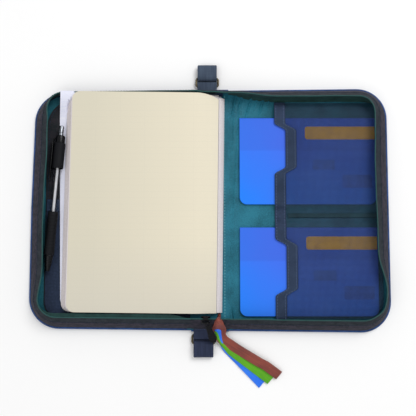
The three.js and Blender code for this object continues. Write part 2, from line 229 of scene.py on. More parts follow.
def curled_rings(path, sides, shares, half_width, thickness):
    """Sections of a ribbon along a path, each at a share of its width.

    Under 1 the edges curl down and the ribbon keeps its own width. Over 1 it is drawn that much wider.
    """
    angles = np.linspace(0.02, 3.0, 200)
    rings = []
    for i, (point, side, share) in enumerate(zip(path, sides, shares)):
        along = path[min(i + 1, len(path) - 1)] - path[max(i - 1, 0)]
        up = along.cross(side).normalized()
        turn = float(np.interp(-min(share, 0.999), -np.sin(angles) / angles, angles))
        radius = half_width * max(share, 1.0) / turn
        upper, lower = [], []
        for t in np.linspace(-1, 1, 11):
            a = t * turn
            normal = up * math.cos(a) + side * math.sin(a)
            middle = point - up * radius + normal * radius
            edge = thickness / 2 * (0.3 if abs(t) == 1 else 1)
            upper.append(middle + normal * edge)
            lower.append(middle - normal * edge)
        rings.append(upper + lower[::-1])
    return rings


def join_lofts(name, parts, look, sharp=35):
    """Several skins as one piece."""
    points, faces, uvs = [], [], []
    for more_points, more_faces, more_uvs in parts:
        start = len(points)
        points += more_points
        faces += [tuple(start + n for n in face) for face in more_faces]
        uvs += more_uvs
    return mesh_object(name, points, faces, look, uvs, sharp)


def settle(piece):
    """Draw the shell a little in at its left and out at its right, and tuck in its upper left."""
    for vertex in piece.data.vertices:
        place_x, place_y = vertex.co.x, vertex.co.y
        vertex.co.y = place_y * (1 + SHELL_TAPER * place_x / HALF_WIDTH)
        if place_x < 0:
            share = min(max(place_y / HALF_DEPTH, 0), 1)
            vertex.co.x = place_x + LEFT_TOP_TUCK * share * (place_x / HALF_WIDTH) ** 4
    return piece


def place(piece, body, slot, *nodes):
    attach(piece, body)
    if nodes:
        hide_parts(*nodes)
    return piece


# Materials

def node(tree, kind, settings=None, **inputs):
    """A shader node with its settings, and its inputs by name as values or as links."""
    made = tree.nodes.new("ShaderNode" + kind)
    for key, value in (settings or {}).items():
        setattr(made, key, value)
    for key, value in inputs.items():
        socket = made.inputs[int(key[1:])] if key[1:].isdigit() else made.inputs[key.replace("_", " ")]
        if isinstance(value, bpy.types.NodeSocket):
            tree.links.new(value, socket)
        else:
            socket.default_value = value
    return made


def calc(tree, operation, a, b=0.0, c=0.0):
    return node(tree, "Math", {"operation": operation}, i0=a, i1=b, i2=c).outputs[0]


def mixed(tree, share, first, second, blend="MIX"):
    settings = {"data_type": "RGBA", "blend_type": blend}
    return node(tree, "Mix", settings, i0=share, i6=first, i7=second).outputs[2]


def rgb(code, gain=1.0):
    """A linear colour from a hex sRGB one."""
    channels = [int(code[i:i + 2], 16) / 255 for i in (0, 2, 4)]
    linear = [c / 12.92 if c <= 0.04045 else ((c + 0.055) / 1.055) ** 2.4 for c in channels]
    return (*[c * gain for c in linear], 1.0)


def new_look(name, roughness, metallic=0.0, **sockets):
    material = bpy.data.materials.new(name)
    material.use_nodes = True
    tree = material.node_tree
    shader = tree.nodes["Principled BSDF"]
    shader.inputs["Roughness"].default_value = roughness
    shader.inputs["Metallic"].default_value = metallic
    for key, value in sockets.items():
        shader.inputs[key.replace("_", " ")].default_value = value
    return material, tree, shader


def grain(tree, where, scale, detail=4.0, rough=0.6):
    return node(tree, "TexNoise", Vector=where, Scale=scale, Detail=detail, Roughness=rough).outputs["Fac"]


def limited(tree, value, from_low, from_high, to_low=0.0, to_high=1.0):
    return node(tree, "MapRange", Value=value, From_Min=from_low, From_Max=from_high,
                To_Min=to_low, To_Max=to_high).outputs[0]


def weighed(tree, first, first_share, second, second_share):
    """Two values added in their shares."""
    return calc(tree, "ADD", calc(tree, "MULTIPLY", first, first_share),
                calc(tree, "MULTIPLY", second, second_share))


def wave(tree, value, pitch):
    return calc(tree, "SINE", calc(tree, "MULTIPLY", value, 2 * math.pi / pitch))


def dressed(material, colour, height, strength, distance):
    """The material, with a colour and the bump of a height linked to its shader."""
    tree = material.node_tree
    shader = tree.nodes["Principled BSDF"]
    tree.links.new(colour, shader.inputs["Base Color"])
    normal = node(tree, "Bump", Strength=strength, Distance=distance, Height=height).outputs[0]
    tree.links.new(normal, shader.inputs["Normal"])
    return material


def weave_height(tree, where, pitch):
    """Small rounded lumps in every plane, as crossed threads make."""
    parts = node(tree, "SeparateXYZ", Vector=where).outputs
    waves = [wave(tree, part, 2 * pitch) for part in parts]
    pairs = [calc(tree, "MULTIPLY", waves[a], waves[b]) for a, b in ((0, 1), (1, 2), (2, 0))]
    return calc(tree, "ADD", calc(tree, "ADD", pairs[0], pairs[1]), pairs[2])


def cloth(name, dark, light, pitch=0.7 * MM, roughness=0.85, bump=0.3, sheen=0.05, blotch=60, spread=1.0):
    """Woven cloth: crossed threads, flecks at the scale of the threads and slow changes of shade."""
    material, tree, _ = new_look(name, roughness, Sheen_Weight=sheen, Sheen_Roughness=0.5,
                                 Specular_IOR_Level=0.15)
    where = node(tree, "TexCoord").outputs["Object"]
    weave = weave_height(tree, where, pitch)
    slow = grain(tree, where, blotch)
    fleck = grain(tree, where, 0.5 / pitch, 1.0)
    shade = weighed(tree, slow, 0.6, fleck, 0.4)
    share = limited(tree, shade, 0.5 - 0.16 / spread, 0.5 + 0.16 / spread)
    colour = mixed(tree, share, rgb(dark), rgb(light))
    threads = limited(tree, weave, -1, 1, 0.82, 1.12)
    tinted = mixed(tree, 1.0, colour, threads, "MULTIPLY")
    height = calc(tree, "ADD", weave, calc(tree, "MULTIPLY", fleck, 0.8))
    return dressed(material, tinted, height, bump, 0.15 * MM)


def ribbed(name, dark, light, pitch, cross, roughness=0.7, bump=0.4, sheen=0.05, gloss=0.2):
    """Webbing or ribbon: ribs across its length with finer threads along it, from metric UVs."""
    material, tree, _ = new_look(name, roughness, Sheen_Weight=sheen, Specular_IOR_Level=gloss)
    coordinates = node(tree, "TexCoord").outputs
    u, v, _ = node(tree, "SeparateXYZ", Vector=coordinates["UV"]).outputs
    step = calc(tree, "MULTIPLY", wave(tree, v, cross), 0.5 * math.pi)
    rib = calc(tree, "SINE", calc(tree, "ADD", calc(tree, "MULTIPLY", u, 2 * math.pi / pitch), step))
    thread = wave(tree, v, 0.5 * cross)
    height = calc(tree, "ADD", rib, calc(tree, "MULTIPLY", thread, 0.4))
    slow = grain(tree, coordinates["Object"], 45)
    stretched = node(tree, "Mapping", Vector=coordinates["UV"], Scale=(40.0, 900.0, 1.0)).outputs[0]
    shade = weighed(tree, slow, 0.5, grain(tree, stretched, 1, 2), 0.5)
    colour = mixed(tree, limited(tree, shade, 0.38, 0.62), rgb(dark), rgb(light))
    tinted = mixed(tree, 1.0, colour, limited(tree, height, -1.4, 1.4, 0.78, 1.12), "MULTIPLY")
    return dressed(material, tinted, height, bump, 0.2 * MM)


def metal(name, colour, roughness, metallic=1.0, gloss=0.5, wear=0.12):
    """Metal with fine scratches and smudges in its gloss."""
    material, tree, shader = new_look(name, roughness, metallic, Specular_IOR_Level=gloss)
    where = node(tree, "TexCoord").outputs["Object"]
    stretched = node(tree, "Mapping", Vector=where, Scale=(1.0, 6.0, 1.0)).outputs[0]
    scratches = grain(tree, stretched, 900, 6)
    smudges = grain(tree, where, 120)
    amount = limited(tree, smudges, 0.3, 0.7, roughness - wear / 2, roughness + wear)
    tree.links.new(amount, shader.inputs["Roughness"])
    tinted = mixed(tree, limited(tree, scratches, 0.35, 0.7), rgb(colour, 0.85), rgb(colour, 1.1))
    return dressed(material, tinted, scratches, 0.08, 0.05 * MM)


def moulded(name, colour, roughness, coat=0.0, pit=700, bump=0.15, gloss=0.5):
    """Moulded plastic, rubber or coated card: a fine pitted skin with small changes of gloss."""
    material, tree, shader = new_look(name, roughness, Coat_Weight=coat, Coat_Roughness=0.2,
                                      Specular_IOR_Level=gloss)
    where = node(tree, "TexCoord").outputs["Object"]
    pits = grain(tree, where, pit, 3)
    slow = grain(tree, where, 80)
    tinted = mixed(tree, limited(tree, slow, 0.35, 0.65), rgb(colour, 0.88), rgb(colour, 1.1))
    amount = limited(tree, slow, 0.3, 0.7, roughness - 0.05, roughness + 0.08)
    tree.links.new(amount, shader.inputs["Roughness"])
    return dressed(material, tinted, pits, bump, 0.05 * MM)


def line_mask(tree, value, pitch, width):
    """1 on thin lines a pitch apart and 0 between them."""
    share = calc(tree, "FRACT", calc(tree, "DIVIDE", value, pitch))
    offset = calc(tree, "ABSOLUTE", calc(tree, "SUBTRACT", share, 0.5))
    return limited(tree, offset, 0.5 * width / pitch, 0.8 * width / pitch, 1.0, 0.0)


def page_look():
    """Cream ruled paper: faint ledger lines and columns, warmer at the spine, and greyer at the lower end as
    painted shade.
    """
    material, tree, _ = new_look("page_paper", 0.85, Specular_IOR_Level=0.25)
    where = node(tree, "TexCoord").outputs["Object"]
    x, y, _ = node(tree, "SeparateXYZ", Vector=where).outputs
    page_low, page_high = low("notebook_leaf"), high("notebook_leaf")
    spineward = limited(tree, x, page_low.x + 0.02, page_high.x - 0.02)
    # Painted shade: the page's lower end is mixed toward grey, standing in for the light falling off there.
    lower = limited(tree, y, page_low.y, page_low.y + 0.07, 1.0, 0.0)
    warm = mixed(tree, spineward, rgb("dbd5c1"), rgb("e9e1cb"))
    shaded_at_bottom = mixed(tree, calc(tree, "MULTIPLY", lower, 0.75), warm, rgb("d5d0c2"))
    fibres = grain(tree, where, 900, 5)
    flecked = mixed(tree, limited(tree, fibres, 0.3, 0.75, 0.0, 0.07), shaded_at_bottom, rgb("b9ae95"))
    rows = line_mask(tree, y, 6.1 * MM, 0.3 * MM)
    columns = line_mask(tree, calc(tree, "ADD", x, 4 * MM), 23.7 * MM, 0.35 * MM)
    ruled = calc(tree, "MULTIPLY", calc(tree, "MAXIMUM", rows, columns), 0.05)
    lined = mixed(tree, ruled, flecked, rgb("9aa0a0"))
    sag = grain(tree, where, 14, 2)
    height = calc(tree, "ADD", calc(tree, "MULTIPLY", fibres, 0.04), sag)
    return dressed(material, lined, height, 0.12, 1.0 * MM)


def paper(name, tone, shade, layer=0.35 * MM):
    """Plain paper with fibres, and the fine layers of leaves where it is seen edge on."""
    material, tree, _ = new_look(name, 0.85, Specular_IOR_Level=0.25)
    where = node(tree, "TexCoord").outputs["Object"]
    _, _, z = node(tree, "SeparateXYZ", Vector=where).outputs
    fibres = grain(tree, where, 800, 5)
    leaves = grain(tree, node(tree, "CombineXYZ", Z=calc(tree, "DIVIDE", z, layer)).outputs[0], 1.0, 2)
    amount = weighed(tree, fibres, 0.3, leaves, 0.7)
    tinted = mixed(tree, limited(tree, amount, 0.35, 0.65), rgb(shade), rgb(tone))
    return dressed(material, tinted, amount, 0.15, 0.1 * MM)


def passbook_look():
    """Coated blue card: azure at the lower left, indigo at the right, with a faint darker band and grain."""
    material, tree, _ = new_look("passbook_card", 0.42, Specular_IOR_Level=0.12, Coat_Weight=0.03)
    where = node(tree, "TexCoord").outputs["Object"]
    x, y, _ = node(tree, "SeparateXYZ", Vector=where).outputs
    book_low = low("upper_passbook_cover")
    pitch = low("upper_passbook_cover").y - low("lower_passbook_cover").y
    from_lower = calc(tree, "SUBTRACT", y, book_low.y - pitch)
    height = calc(tree, "MULTIPLY", calc(tree, "FRACT", calc(tree, "DIVIDE", from_lower, pitch)), pitch)
    across = limited(tree, x, book_low.x, book_low.x + 0.06)
    upward = limited(tree, height, 0.0, 0.06)
    slow = calc(tree, "MULTIPLY", grain(tree, where, 25), 0.35)
    share = calc(tree, "ADD", calc(tree, "MULTIPLY", calc(tree, "ADD", across, upward), 0.42), slow)
    colour = mixed(tree, limited(tree, share, 0.15, 0.95), rgb("1f84ff"), rgb("4570f0"))
    band = limited(tree, height, 52 * MM, 54 * MM)
    banded = mixed(tree, calc(tree, "MULTIPLY", band, 0.22), colour, rgb("3c56c0"))
    return dressed(material, banded, grain(tree, where, 1500, 3), 0.08, 0.05 * MM)


NET_PITCH = 1.1 * MM
NET_THREAD = 0.42 * MM


def mesh_look():
    """A fine tinted net: threads on a small square grid that let part of what is under them through."""
    material, tree, shader = new_look("tinted_mesh", 0.7, Specular_IOR_Level=0.1)
    where = node(tree, "TexCoord").outputs["Object"]
    x, y, _ = node(tree, "SeparateXYZ", Vector=where).outputs
    grid = calc(tree, "MAXIMUM", *[line_mask(tree, axis, NET_PITCH, NET_THREAD) for axis in (x, y)])
    slow = grain(tree, where, 30)
    tinted = mixed(tree, limited(tree, slow, 0.35, 0.65), rgb("2e394b"), rgb("394860"))
    tree.links.new(limited(tree, grid, 0, 1, 0.12, 0.44), shader.inputs["Alpha"])
    return dressed(material, tinted, grid, 0.3, 0.1 * MM)


def clear_look():
    """Clear moulded plastic, seen through, with a slight smoke tint and fine scratches."""
    material, tree, shader = new_look("clear_plastic", 0.15, Coat_Weight=0.15)
    where = node(tree, "TexCoord").outputs["Object"]
    scratches = grain(tree, where, 500, 5)
    tinted = mixed(tree, limited(tree, scratches, 0.3, 0.7), rgb("0c0e12"), rgb("20242b"))
    tree.links.new(tinted, shader.inputs["Base Color"])
    tree.links.new(limited(tree, scratches, 0.3, 0.7, 0.06, 0.15), shader.inputs["Alpha"])
    return material


LOOKS = {
    "navy_cloth": cloth("navy_cloth", "1f2e4a", "2b3d60", 0.8 * MM, spread=1.2),
    "piping": cloth("piping", "1f3a66", "3d5f9c", 0.6 * MM, bump=0.35),
    "gusset_cloth": cloth("gusset_cloth", "21242e", "3b3643", 0.9 * MM, bump=0.5, blotch=240, spread=1.9),
    "zip_tape": cloth("zip_tape", "1e252c", "31373f", 0.6 * MM, bump=0.4, blotch=200, spread=1.6),
    "wall_lining": cloth("wall_lining", "16302f", "264a47", 0.7 * MM, 0.6, blotch=90),
    "zip_coil": moulded("zip_coil", "265452", 0.5, gloss=0.3),
    "teal_lining": cloth("teal_lining", "17596a", "2a7b91", 0.45 * MM, 0.5, 0.15, blotch=38, spread=1.4),
    # The left lining is the teal lining painted darker, as painted shade for the lining in the walls' shadow.
    "left_lining": cloth("left_lining", "184f5b", "286e7e", 0.45 * MM, 0.5, 0.15, blotch=38, spread=1.4),
    "sleeve_cloth": cloth("sleeve_cloth", "1f262a", "322f36", 0.7 * MM, 0.65, blotch=180, spread=1.4),
    "pocket_cloth": cloth("pocket_cloth", "222d40", "303c56", 0.7 * MM, 0.75),
    "binding": cloth("binding", "233045", "35445e", 0.6 * MM, 0.7, bump=0.35),
    "seam_cloth": cloth("seam_cloth", "1a2f38", "25414c", 0.6 * MM, 0.7),
    "thread": moulded("thread", "41557a", 0.6, pit=2500, bump=0.4),
    "teal_thread": moulded("teal_thread", "6fb3bc", 0.6, pit=2500, bump=0.4),
    "webbing": ribbed("webbing", "343f52", "4a586b", 1.5 * MM, 2.6 * MM),
    # The lower webbing is a darker copy of the same webbing: painted shade on the handle's lower end.
    "shaded_lower_webbing": ribbed("shaded_lower_webbing", "222a40", "333c58", 1.5 * MM, 2.6 * MM),
    "ring_metal": metal("ring_metal", "5d5545", 0.3),
    "black_metal": metal("black_metal", "0a0b0f", 0.26, 0.0, 0.22, 0.06),
    "black_rubber": moulded("black_rubber", "121317", 0.6, pit=900, bump=0.3, gloss=0.15),
    "pen_steel": metal("pen_steel", "8f939a", 0.22),
    "refill": moulded("refill", "f4f6fb", 0.4),
    "page_paper": page_look(),
    "white_paper": paper("white_paper", "f2eced", "cbc3c4"),
    "cover_card": paper("cover_card", "f4f5ff", "e2e5fa", 0.8 * MM),
    "passbook_card": passbook_look(),
    "label": moulded("label", "f2ba36", 0.55, pit=1400, gloss=0.2),
    "print_ink": moulded("print_ink", "3f66d4", 0.45, pit=1400, gloss=0.2),
    "tinted_mesh": mesh_look(),
    "ribbon_brown": ribbed("ribbon_brown", "70352f", "964636", 0.55 * MM, 40 * MM, 0.45, 0.25, 0.05, 0.4),
    "ribbon_green": ribbed("ribbon_green", "4f9f04", "63b608", 0.55 * MM, 40 * MM, 0.45, 0.25, 0.05, 0.4),
    "ribbon_blue": ribbed("ribbon_blue", "1c6cf0", "2f86ff", 0.55 * MM, 40 * MM, 0.45, 0.25, 0.05, 0.4),
    "clear_plastic": clear_look(),
}


# The leaning zip wall

def outline(side, step=4 * MM):
    """Stations round one half: place on the outline, outward normal and distance along it."""
    straight_x = HALF_WIDTH - CORNER_RADIUS
    straight_y = HALF_DEPTH - CORNER_RADIUS
    stations = []
    run = np.linspace(FOLD, straight_x, round((straight_x - FOLD) / step) + 1)
    turn = np.linspace(0, math.pi / 2, 15)
    rise = np.linspace(-straight_y, straight_y, round(2 * straight_y / step) + 1)
    stations += [(x, -HALF_DEPTH, 0, -1) for x in run]
    for a in turn[1:]:
        nx, ny = math.sin(a), -math.cos(a)
        stations.append((straight_x + CORNER_RADIUS * nx, -straight_y + CORNER_RADIUS * ny, nx, ny))
    stations += [(HALF_WIDTH, y, 1, 0) for y in rise[1:]]
    for a in turn[1:]:
        nx, ny = math.cos(a), math.sin(a)
        stations.append((straight_x + CORNER_RADIUS * nx, straight_y + CORNER_RADIUS * ny, nx, ny))
    stations += [(x, HALF_DEPTH, 0, 1) for x in run[::-1][1:]]
    return [(side * x, y, side * nx, ny) for x, y, nx, ny in stations]


def lean_at(side, station):
    x, y, nx, ny = station
    top = LEFT_TOP_LEAN
    if side > 0:
        top = ease(x, [(FOLD, SPINE_TOP_LEAN), (75 * MM, RIGHT_TOP_LEAN)])
    leans = (BOTTOM_LEAN, ease(y / MM, SIDE_LEANS[side]) * MM, top)
    shares = (max(-ny, 0) ** 2, nx * nx, max(ny, 0) ** 2)
    ripple = 0.0
    if not (side < 0 and ny < -0.99):
        ripple = 0.9 * MM * noise.noise(Vector((x * 28, y * 28, side * 3.0)))
    if side < 0 and ny > 0.5:
        ripple *= 0.3
    ripple *= ease(abs(x), [(FOLD, 0.0), (FOLD + 30 * MM, 1.0)])
    return sum(lean * share for lean, share in zip(leans, shares)) + ripple


def wall_drop(station):
    """How far the wall's top sags where the notebook lies over it, along the left half's top edge."""
    x, _, _, ny = station
    if ny < 0.3:
        return 0.0
    return LEFT_TOP_DROP * ny * ease(-x, [(-FOLD, 0.0), (FOLD, 1.0)])


def wall_point(station, lean, share, out, foot_z=WALL_FOOT_Z, bulge=0.8 * MM):
    """A point of the wall: share runs from its foot to its top and out goes through its thickness."""
    x, y, nx, ny = station
    across, up = lean - WALL_FOOT_INSET, WALL_TOP_Z - wall_drop(station) - foot_z
    slope = math.hypot(across, up)
    out += bulge * math.sin(math.pi * min(max(share, 0), 1))
    inset = WALL_FOOT_INSET + across * share - up / slope * out
    z = foot_z + up * share + across / slope * out
    return Vector((x - nx * inset, y - ny * inset, z))


def wall_layer(name, stations, leans, shares, inner, outer, look, foot_z=WALL_FOOT_Z):
    rows = np.linspace(*shares, 8)
    rings = [[wall_point(s, lean, f, inner, foot_z) for f in rows]
             + [wall_point(s, lean, f, outer, foot_z) for f in rows[::-1]]
             for s, lean in zip(stations, leans)]
    return loft(name, rings, LOOKS[look])


def hung_lining(name, side, stations, leans):
    """The wall's lining, behind its cloth; along one long edge of each half it hangs loose from the zip."""
    rings = []
    for station, lean in zip(stations, leans):
        x, _, nx, ny = station
        loose = max(side * ny, 0) ** 2 * ease(side * x, [(FOLD, 0.25), (FOLD + 20 * MM, 1.0)])
        inner, outer = [], []
        for share in np.linspace(0.02, 0.95, 10):
            fullness = 1 - share if side > 0 else min((0.95 - share) / 0.1, 1)
            inset = WALL_FOOT_INSET + (lean - WALL_FOOT_INSET) * share
            reach = (lean + LOOSE_PAST[side] - inset) * fullness * loose
            for row, depth in ((inner, -0.8 * MM), (outer, -0.15 * MM)):
                row.append(wall_point(station, lean, share, depth) - Vector((nx, ny, 0)) * reach)
        rings.append(inner + outer[::-1])
    return loft(name, rings, LOOKS["wall_lining"])


def resampled(path, step):
    """Points exactly a step apart along a path."""
    points = np.array([tuple(p) for p in path])
    lengths = np.concatenate([[0], np.cumsum(np.linalg.norm(np.diff(points, axis=0), axis=1))])
    at = np.arange(step / 2, lengths[-1], step)
    return [Vector(row) for row in np.stack([np.interp(at, lengths, points[:, k]) for k in range(3)], axis=1)]


def capsule(middle, along, across, up, half_long, half_wide, half_high):
    """A small six-sided bead with blunt ends, as loft parts."""
    rings = []
    for t, size in ((-1, 0.45), (-0.7, 0.9), (0.7, 0.9), (1, 0.45)):
        rings.append([middle + along * (half_long * t) + across * (half_wide * size * math.cos(a))
                      + up * (half_high * size * math.sin(a))
                      for a in (2 * math.pi * k / 6 for k in range(6))])
    return loft_parts(rings)


def stitches(name, path, look, length=1.7 * MM, pitch=2.9 * MM, normal=None):
    """A row of thread stitches that stand a little proud of the cloth along a path."""
    points = resampled(path, pitch)
    parts = []
    for i, point in enumerate(points):
        along = (points[min(i + 1, len(points) - 1)] - points[max(i - 1, 0)]).normalized()
        up = normal(point) if callable(normal) else (normal or Vector((0, 0, 1)))
        across = along.cross(up).normalized()
        parts.append(capsule(point, along, across, up, length / 2, STITCH_THREAD, 0.22 * MM))
    return join_lofts(name, parts, LOOKS[look])


def coil(name, path, outwards, look="zip_coil"):
    """A zip's coil: close rounded teeth across a path, on a thin cord."""
    pitch = 1.35 * MM
    points = resampled(path, pitch)
    parts = [loft_parts(tube_rings(points, 0.42 * MM, 8))]
    for i, point in enumerate(points):
        along = (points[min(i + 1, len(points) - 1)] - points[max(i - 1, 0)]).normalized()
        out = outwards(point)
        across = (out - along * out.dot(along)).normalized()
        parts.append(capsule(point, across, along, along.cross(across), 0.68 * MM, 0.4 * MM, 0.7 * MM))
    return join_lofts(name, parts, LOOKS[look], 60)


def chain_point(station, lean):
    x, y, nx, ny = station
    return Vector((x - nx * lean, y - ny * lean, CHAIN_Z - wall_drop(station)))


def away_from_middle(point):
    """Level and outwards from the case's middle line, for beads on the wall's top."""
    x_past = max(abs(point.x) - (HALF_WIDTH - CORNER_RADIUS - 12 * MM), 0) * math.copysign(1, point.x)
    y_past = max(abs(point.y) - (HALF_DEPTH - CORNER_RADIUS - 12 * MM), 0) * math.copysign(1, point.y)
    return Vector((x_past, y_past, 10 * MM)).normalized()


def build_wall(side):
    """One half's wall: its cloth, zip tape, lining, coil, seam and the cord round the board's edge."""
    half = "right" if side > 0 else "left"
    stations = outline(side)
    leans = [lean_at(side, station) for station in stations]

    def add(piece, slot, *ends):
        place(settle(piece), half + "_half", slot, *[f"{half}_{end}" for end in ends])

    add(wall_layer(half + "_wall_cloth", stations, leans, (0, 0.6), 0, 1 * MM, "gusset_cloth"),
        "gusset_cloth", "gusset")
    add(wall_layer(half + "_wall_tape", stations, leans, (0.58, 1), 0.15 * MM, 0.75 * MM, "zip_tape"),
        "gusset_cloth", "zip_tape")
    add(hung_lining(half + "_wall_inner", side, stations, leans), "wall_lining", "gusset_lining")
    chain = [chain_point(station, lean) for station, lean in zip(stations, leans)]
    add(coil(half + "_coil", chain, away_from_middle), "zip_coil", "zip_chain")
    seam = [wall_point(s, lean, 0.62, 1.0 * MM) for s, lean in zip(stations, leans)]
    add(stitches(half + "_wall_seam", seam, "binding", normal=away_from_middle), "gusset_cloth")
    rim = [Vector((x - nx * PIPING_INSET, y - ny * PIPING_INSET, 1.6 * MM)) for x, y, nx, ny in stations]
    add(tube(half + "_edge_cord", rim, 1.45 * MM, LOOKS["piping"]), "piping", "piping")


# The lean of the wall across the spine at each end, at its left fold, middle and right fold
SPINE_LEANS = {
    "bottom": (BOTTOM_LEAN, BOTTOM_LEAN, BOTTOM_LEAN),
    "top": (LEFT_TOP_LEAN, (LEFT_TOP_LEAN + SPINE_TOP_LEAN) / 2, SPINE_TOP_LEAN),
}


def build_spine_wall(name, end, side, middle, outer):
    """Half of the wall's cloth, lining and coil across one end of the spine, from its middle to a fold."""
    xs = np.linspace(-side * 0.3 * MM, side * (FOLD + 0.5 * MM), 9)
    stations = [(x, end * HALF_DEPTH, 0, end) for x in xs]
    leans = [ease(side * x, [(0, middle), (FOLD, outer)]) for x in xs]
    chain = [chain_point(*pair) for pair in zip(stations, leans)]
    made = [
        (wall_layer(name + "_cloth", stations, leans, (0, 0.98), 0, 1 * MM, "gusset_cloth", SPINE_FOOT_Z),
         "gusset_cloth"),
        (wall_layer(name + "_inner", stations, leans, (0, 0.95), -0.8 * MM, -0.15 * MM, "wall_lining",
                    SPINE_FOOT_Z), "wall_lining"),
        (coil(name + "_coil", chain, away_from_middle), "zip_coil"),
    ]
    for piece, slot in made:
        place(settle(piece), "spine", slot)
        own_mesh(piece)


def build_spine_walls():
    """The wall where it crosses the spine, at both ends of it."""
    for end, end_name in ((-1, "bottom"), (1, "top")):
        at_left, middle, at_right = SPINE_LEANS[end_name]
        build_spine_wall(f"spine_{end_name}_left", end, -1, middle, at_left)
        build_spine_wall(f"spine_{end_name}_right", end, 1, middle, at_right)


# Boards, linings and pockets

def half_extent(x, inset):
    """How far a half's outline, drawn in by inset, reaches along Y at a place along X."""
    radius = CORNER_RADIUS - inset
    past = max(abs(x) - (HALF_WIDTH - CORNER_RADIUS), 0)
    return HALF_DEPTH - inset - radius + math.sqrt(max(radius * radius - past * past, 0))


def sheet_over(name, xs, extent, height, thickness, look, columns=60):
    """A closed sheet over a half: rows at xs, each from -extent to extent, at height(x, y)."""
    rings = []
    for x in xs:
        y0, y1 = extent(x)
        ys = np.linspace(y0, y1, columns)
        upper = [Vector((x, y, height(x, y))) for y in ys]
        rings.append(upper + [p - Vector((0, 0, thickness)) for p in reversed(upper)])
    return loft(name, rings, LOOKS[look])


# Creases in the right lining, each from the wall inwards: x, y to x, y in mm, then height and half width
CREASES = [
    (24.6, 108, 20, 86, 2.1, 1.0), (31, 108, 27, 94, 1.1, 0.9), (40.5, 108, 34.6, 87, 2.2, 1.0),
    (46.5, 108, 43, 95, 1.0, 0.9), (52.5, 108, 48, 90, 1.9, 1.1), (58.5, 108, 56, 97, 1.0, 0.9),
    (23.8, -110, 20.3, -86, 2.1, 1.0), (20.5, -110, 19.6, -96, 0.8, 0.8), (40, -110, 37, -104, 0.8, 1.1),
    (22.5, 60, 20, 20, 0.5, 1.6), (23, -10, 20.5, -50, 0.5, 1.8),
]


def creased(x, y):
    """How high the gathered lining stands: a rounded ridge along each crease that dies away inwards."""
    total = 0.0
    for x0, y0, x1, y1, height, width in CREASES:
        ax, ay, bx, by = x0 * MM, y0 * MM, x1 * MM, y1 * MM
        dx, dy = bx - ax, by - ay
        share = ((x - ax) * dx + (y - ay) * dy) / (dx * dx + dy * dy)
        if share > 1:
            continue
        aside = ((x - ax) * dy - (y - ay) * dx) / math.hypot(dx, dy) / (width * MM)
        along = min(1.0, 1.6 * (1 - max(share, 0)))
        total += height * MM * along * math.exp(-aside * aside)
    return total


LINING_INSET = 4.6 * MM
# From the fold to here the right lining's rows are close together, for its ridges
GATHERED_TO = 64 * MM


def lining_extent(x):
    reach = half_extent(x, LINING_INSET)
    return -reach, reach


def right_lining_height(x, y):
    ripple = 0.12 * MM * noise.noise(Vector((x * 70, y * 25, 4)))
    return LINING_Z + 0.1 * MM + creased(x, y) + ripple


def left_lining_height(x, y):
    return LINING_Z + 0.15 * MM * noise.noise(Vector((x * 60, y * 60, 1)))


def spine_lining_height(x, y):
    fall = ease(abs(x), [(11.5 * MM, 0.0), (SPINE_HALF, 0.7 * MM)])
    ripple = 0.2 * MM * noise.noise(Vector((x * 220, y * 18, 6)))
    return SPINE_LINING_Z - fall + ripple


def build_linings():
    """The teal linings of the right half, the left half and the spine, and the spine's seam."""
    outer_x = HALF_WIDTH - 4.7 * MM
    xs = np.concatenate([np.arange(FOLD, GATHERED_TO, 0.55 * MM), np.linspace(65 * MM, outer_x, 40)])
    piece = sheet_over("right_lining_cloth", xs, lining_extent, right_lining_height, 0.7 * MM,
                       "teal_lining", 190)
    place(settle(piece), "right_half", "teal_lining", "right_lining")
    xs = np.linspace(-FOLD, -outer_x, 48)
    # The left half's lining takes the darker copy of the teal lining: painted shade.
    piece = sheet_over("left_lining_cloth", xs, lining_extent, left_lining_height, 0.6 * MM, "left_lining")
    place(settle(piece), "left_half", "teal_lining", "left_lining")
    xs = np.arange(-SPINE_HALF, SPINE_HALF + 0.1 * MM, 0.75 * MM)
    spine_end = high("spine_lining").y
    piece = sheet_over("spine_lining_cloth", xs, lambda x: (-spine_end, spine_end), spine_lining_height,
                       0.5 * MM, "teal_lining", 90)
    place(piece, "spine", "teal_lining", "spine_lining")
    seam_x = SPINE_HALF - 2.2 * MM
    seam = [Vector((seam_x, y, spine_lining_height(seam_x, y) + 0.1 * MM))
            for y in np.linspace(-spine_end, spine_end, 90)]
    place(stitches("spine_lining_seam", seam, "teal_thread"), "spine", "teal_lining")


def build_fold_cloth():
    """The outer cloth and the lining that turn round each fold, from the board's edge to the spine."""
    ys = np.linspace(-HALF_DEPTH + 1.5 * MM, HALF_DEPTH - 1.5 * MM, 30)
    routes = {
        "navy_cloth": [(20.5, 0.55), (18.3, 0.7), (17, 1.4), (15.5, 2.2), (12, 2.35)],
        "teal_lining": [(12.6, 4.6), (15, 4.45), (17, 4.0), (19, 3.75), (22, 3.7)],
    }
    for side, body in ((-1, "left_half"), (1, "right_half")):
        for look, route in routes.items():
            path = smooth([(side * x * MM, 0, z * MM) for x, z in route], 0.8 * MM)
            half = 0.25 * MM
            rings = [[Vector((p[0], y, p[2] + half)) for p in path]
                     + [Vector((p[0], y, p[2] - half)) for p in reversed(path)] for y in ys]
            piece = loft(f"{body}_fold_{look}", rings, LOOKS[look])
            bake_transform(piece)


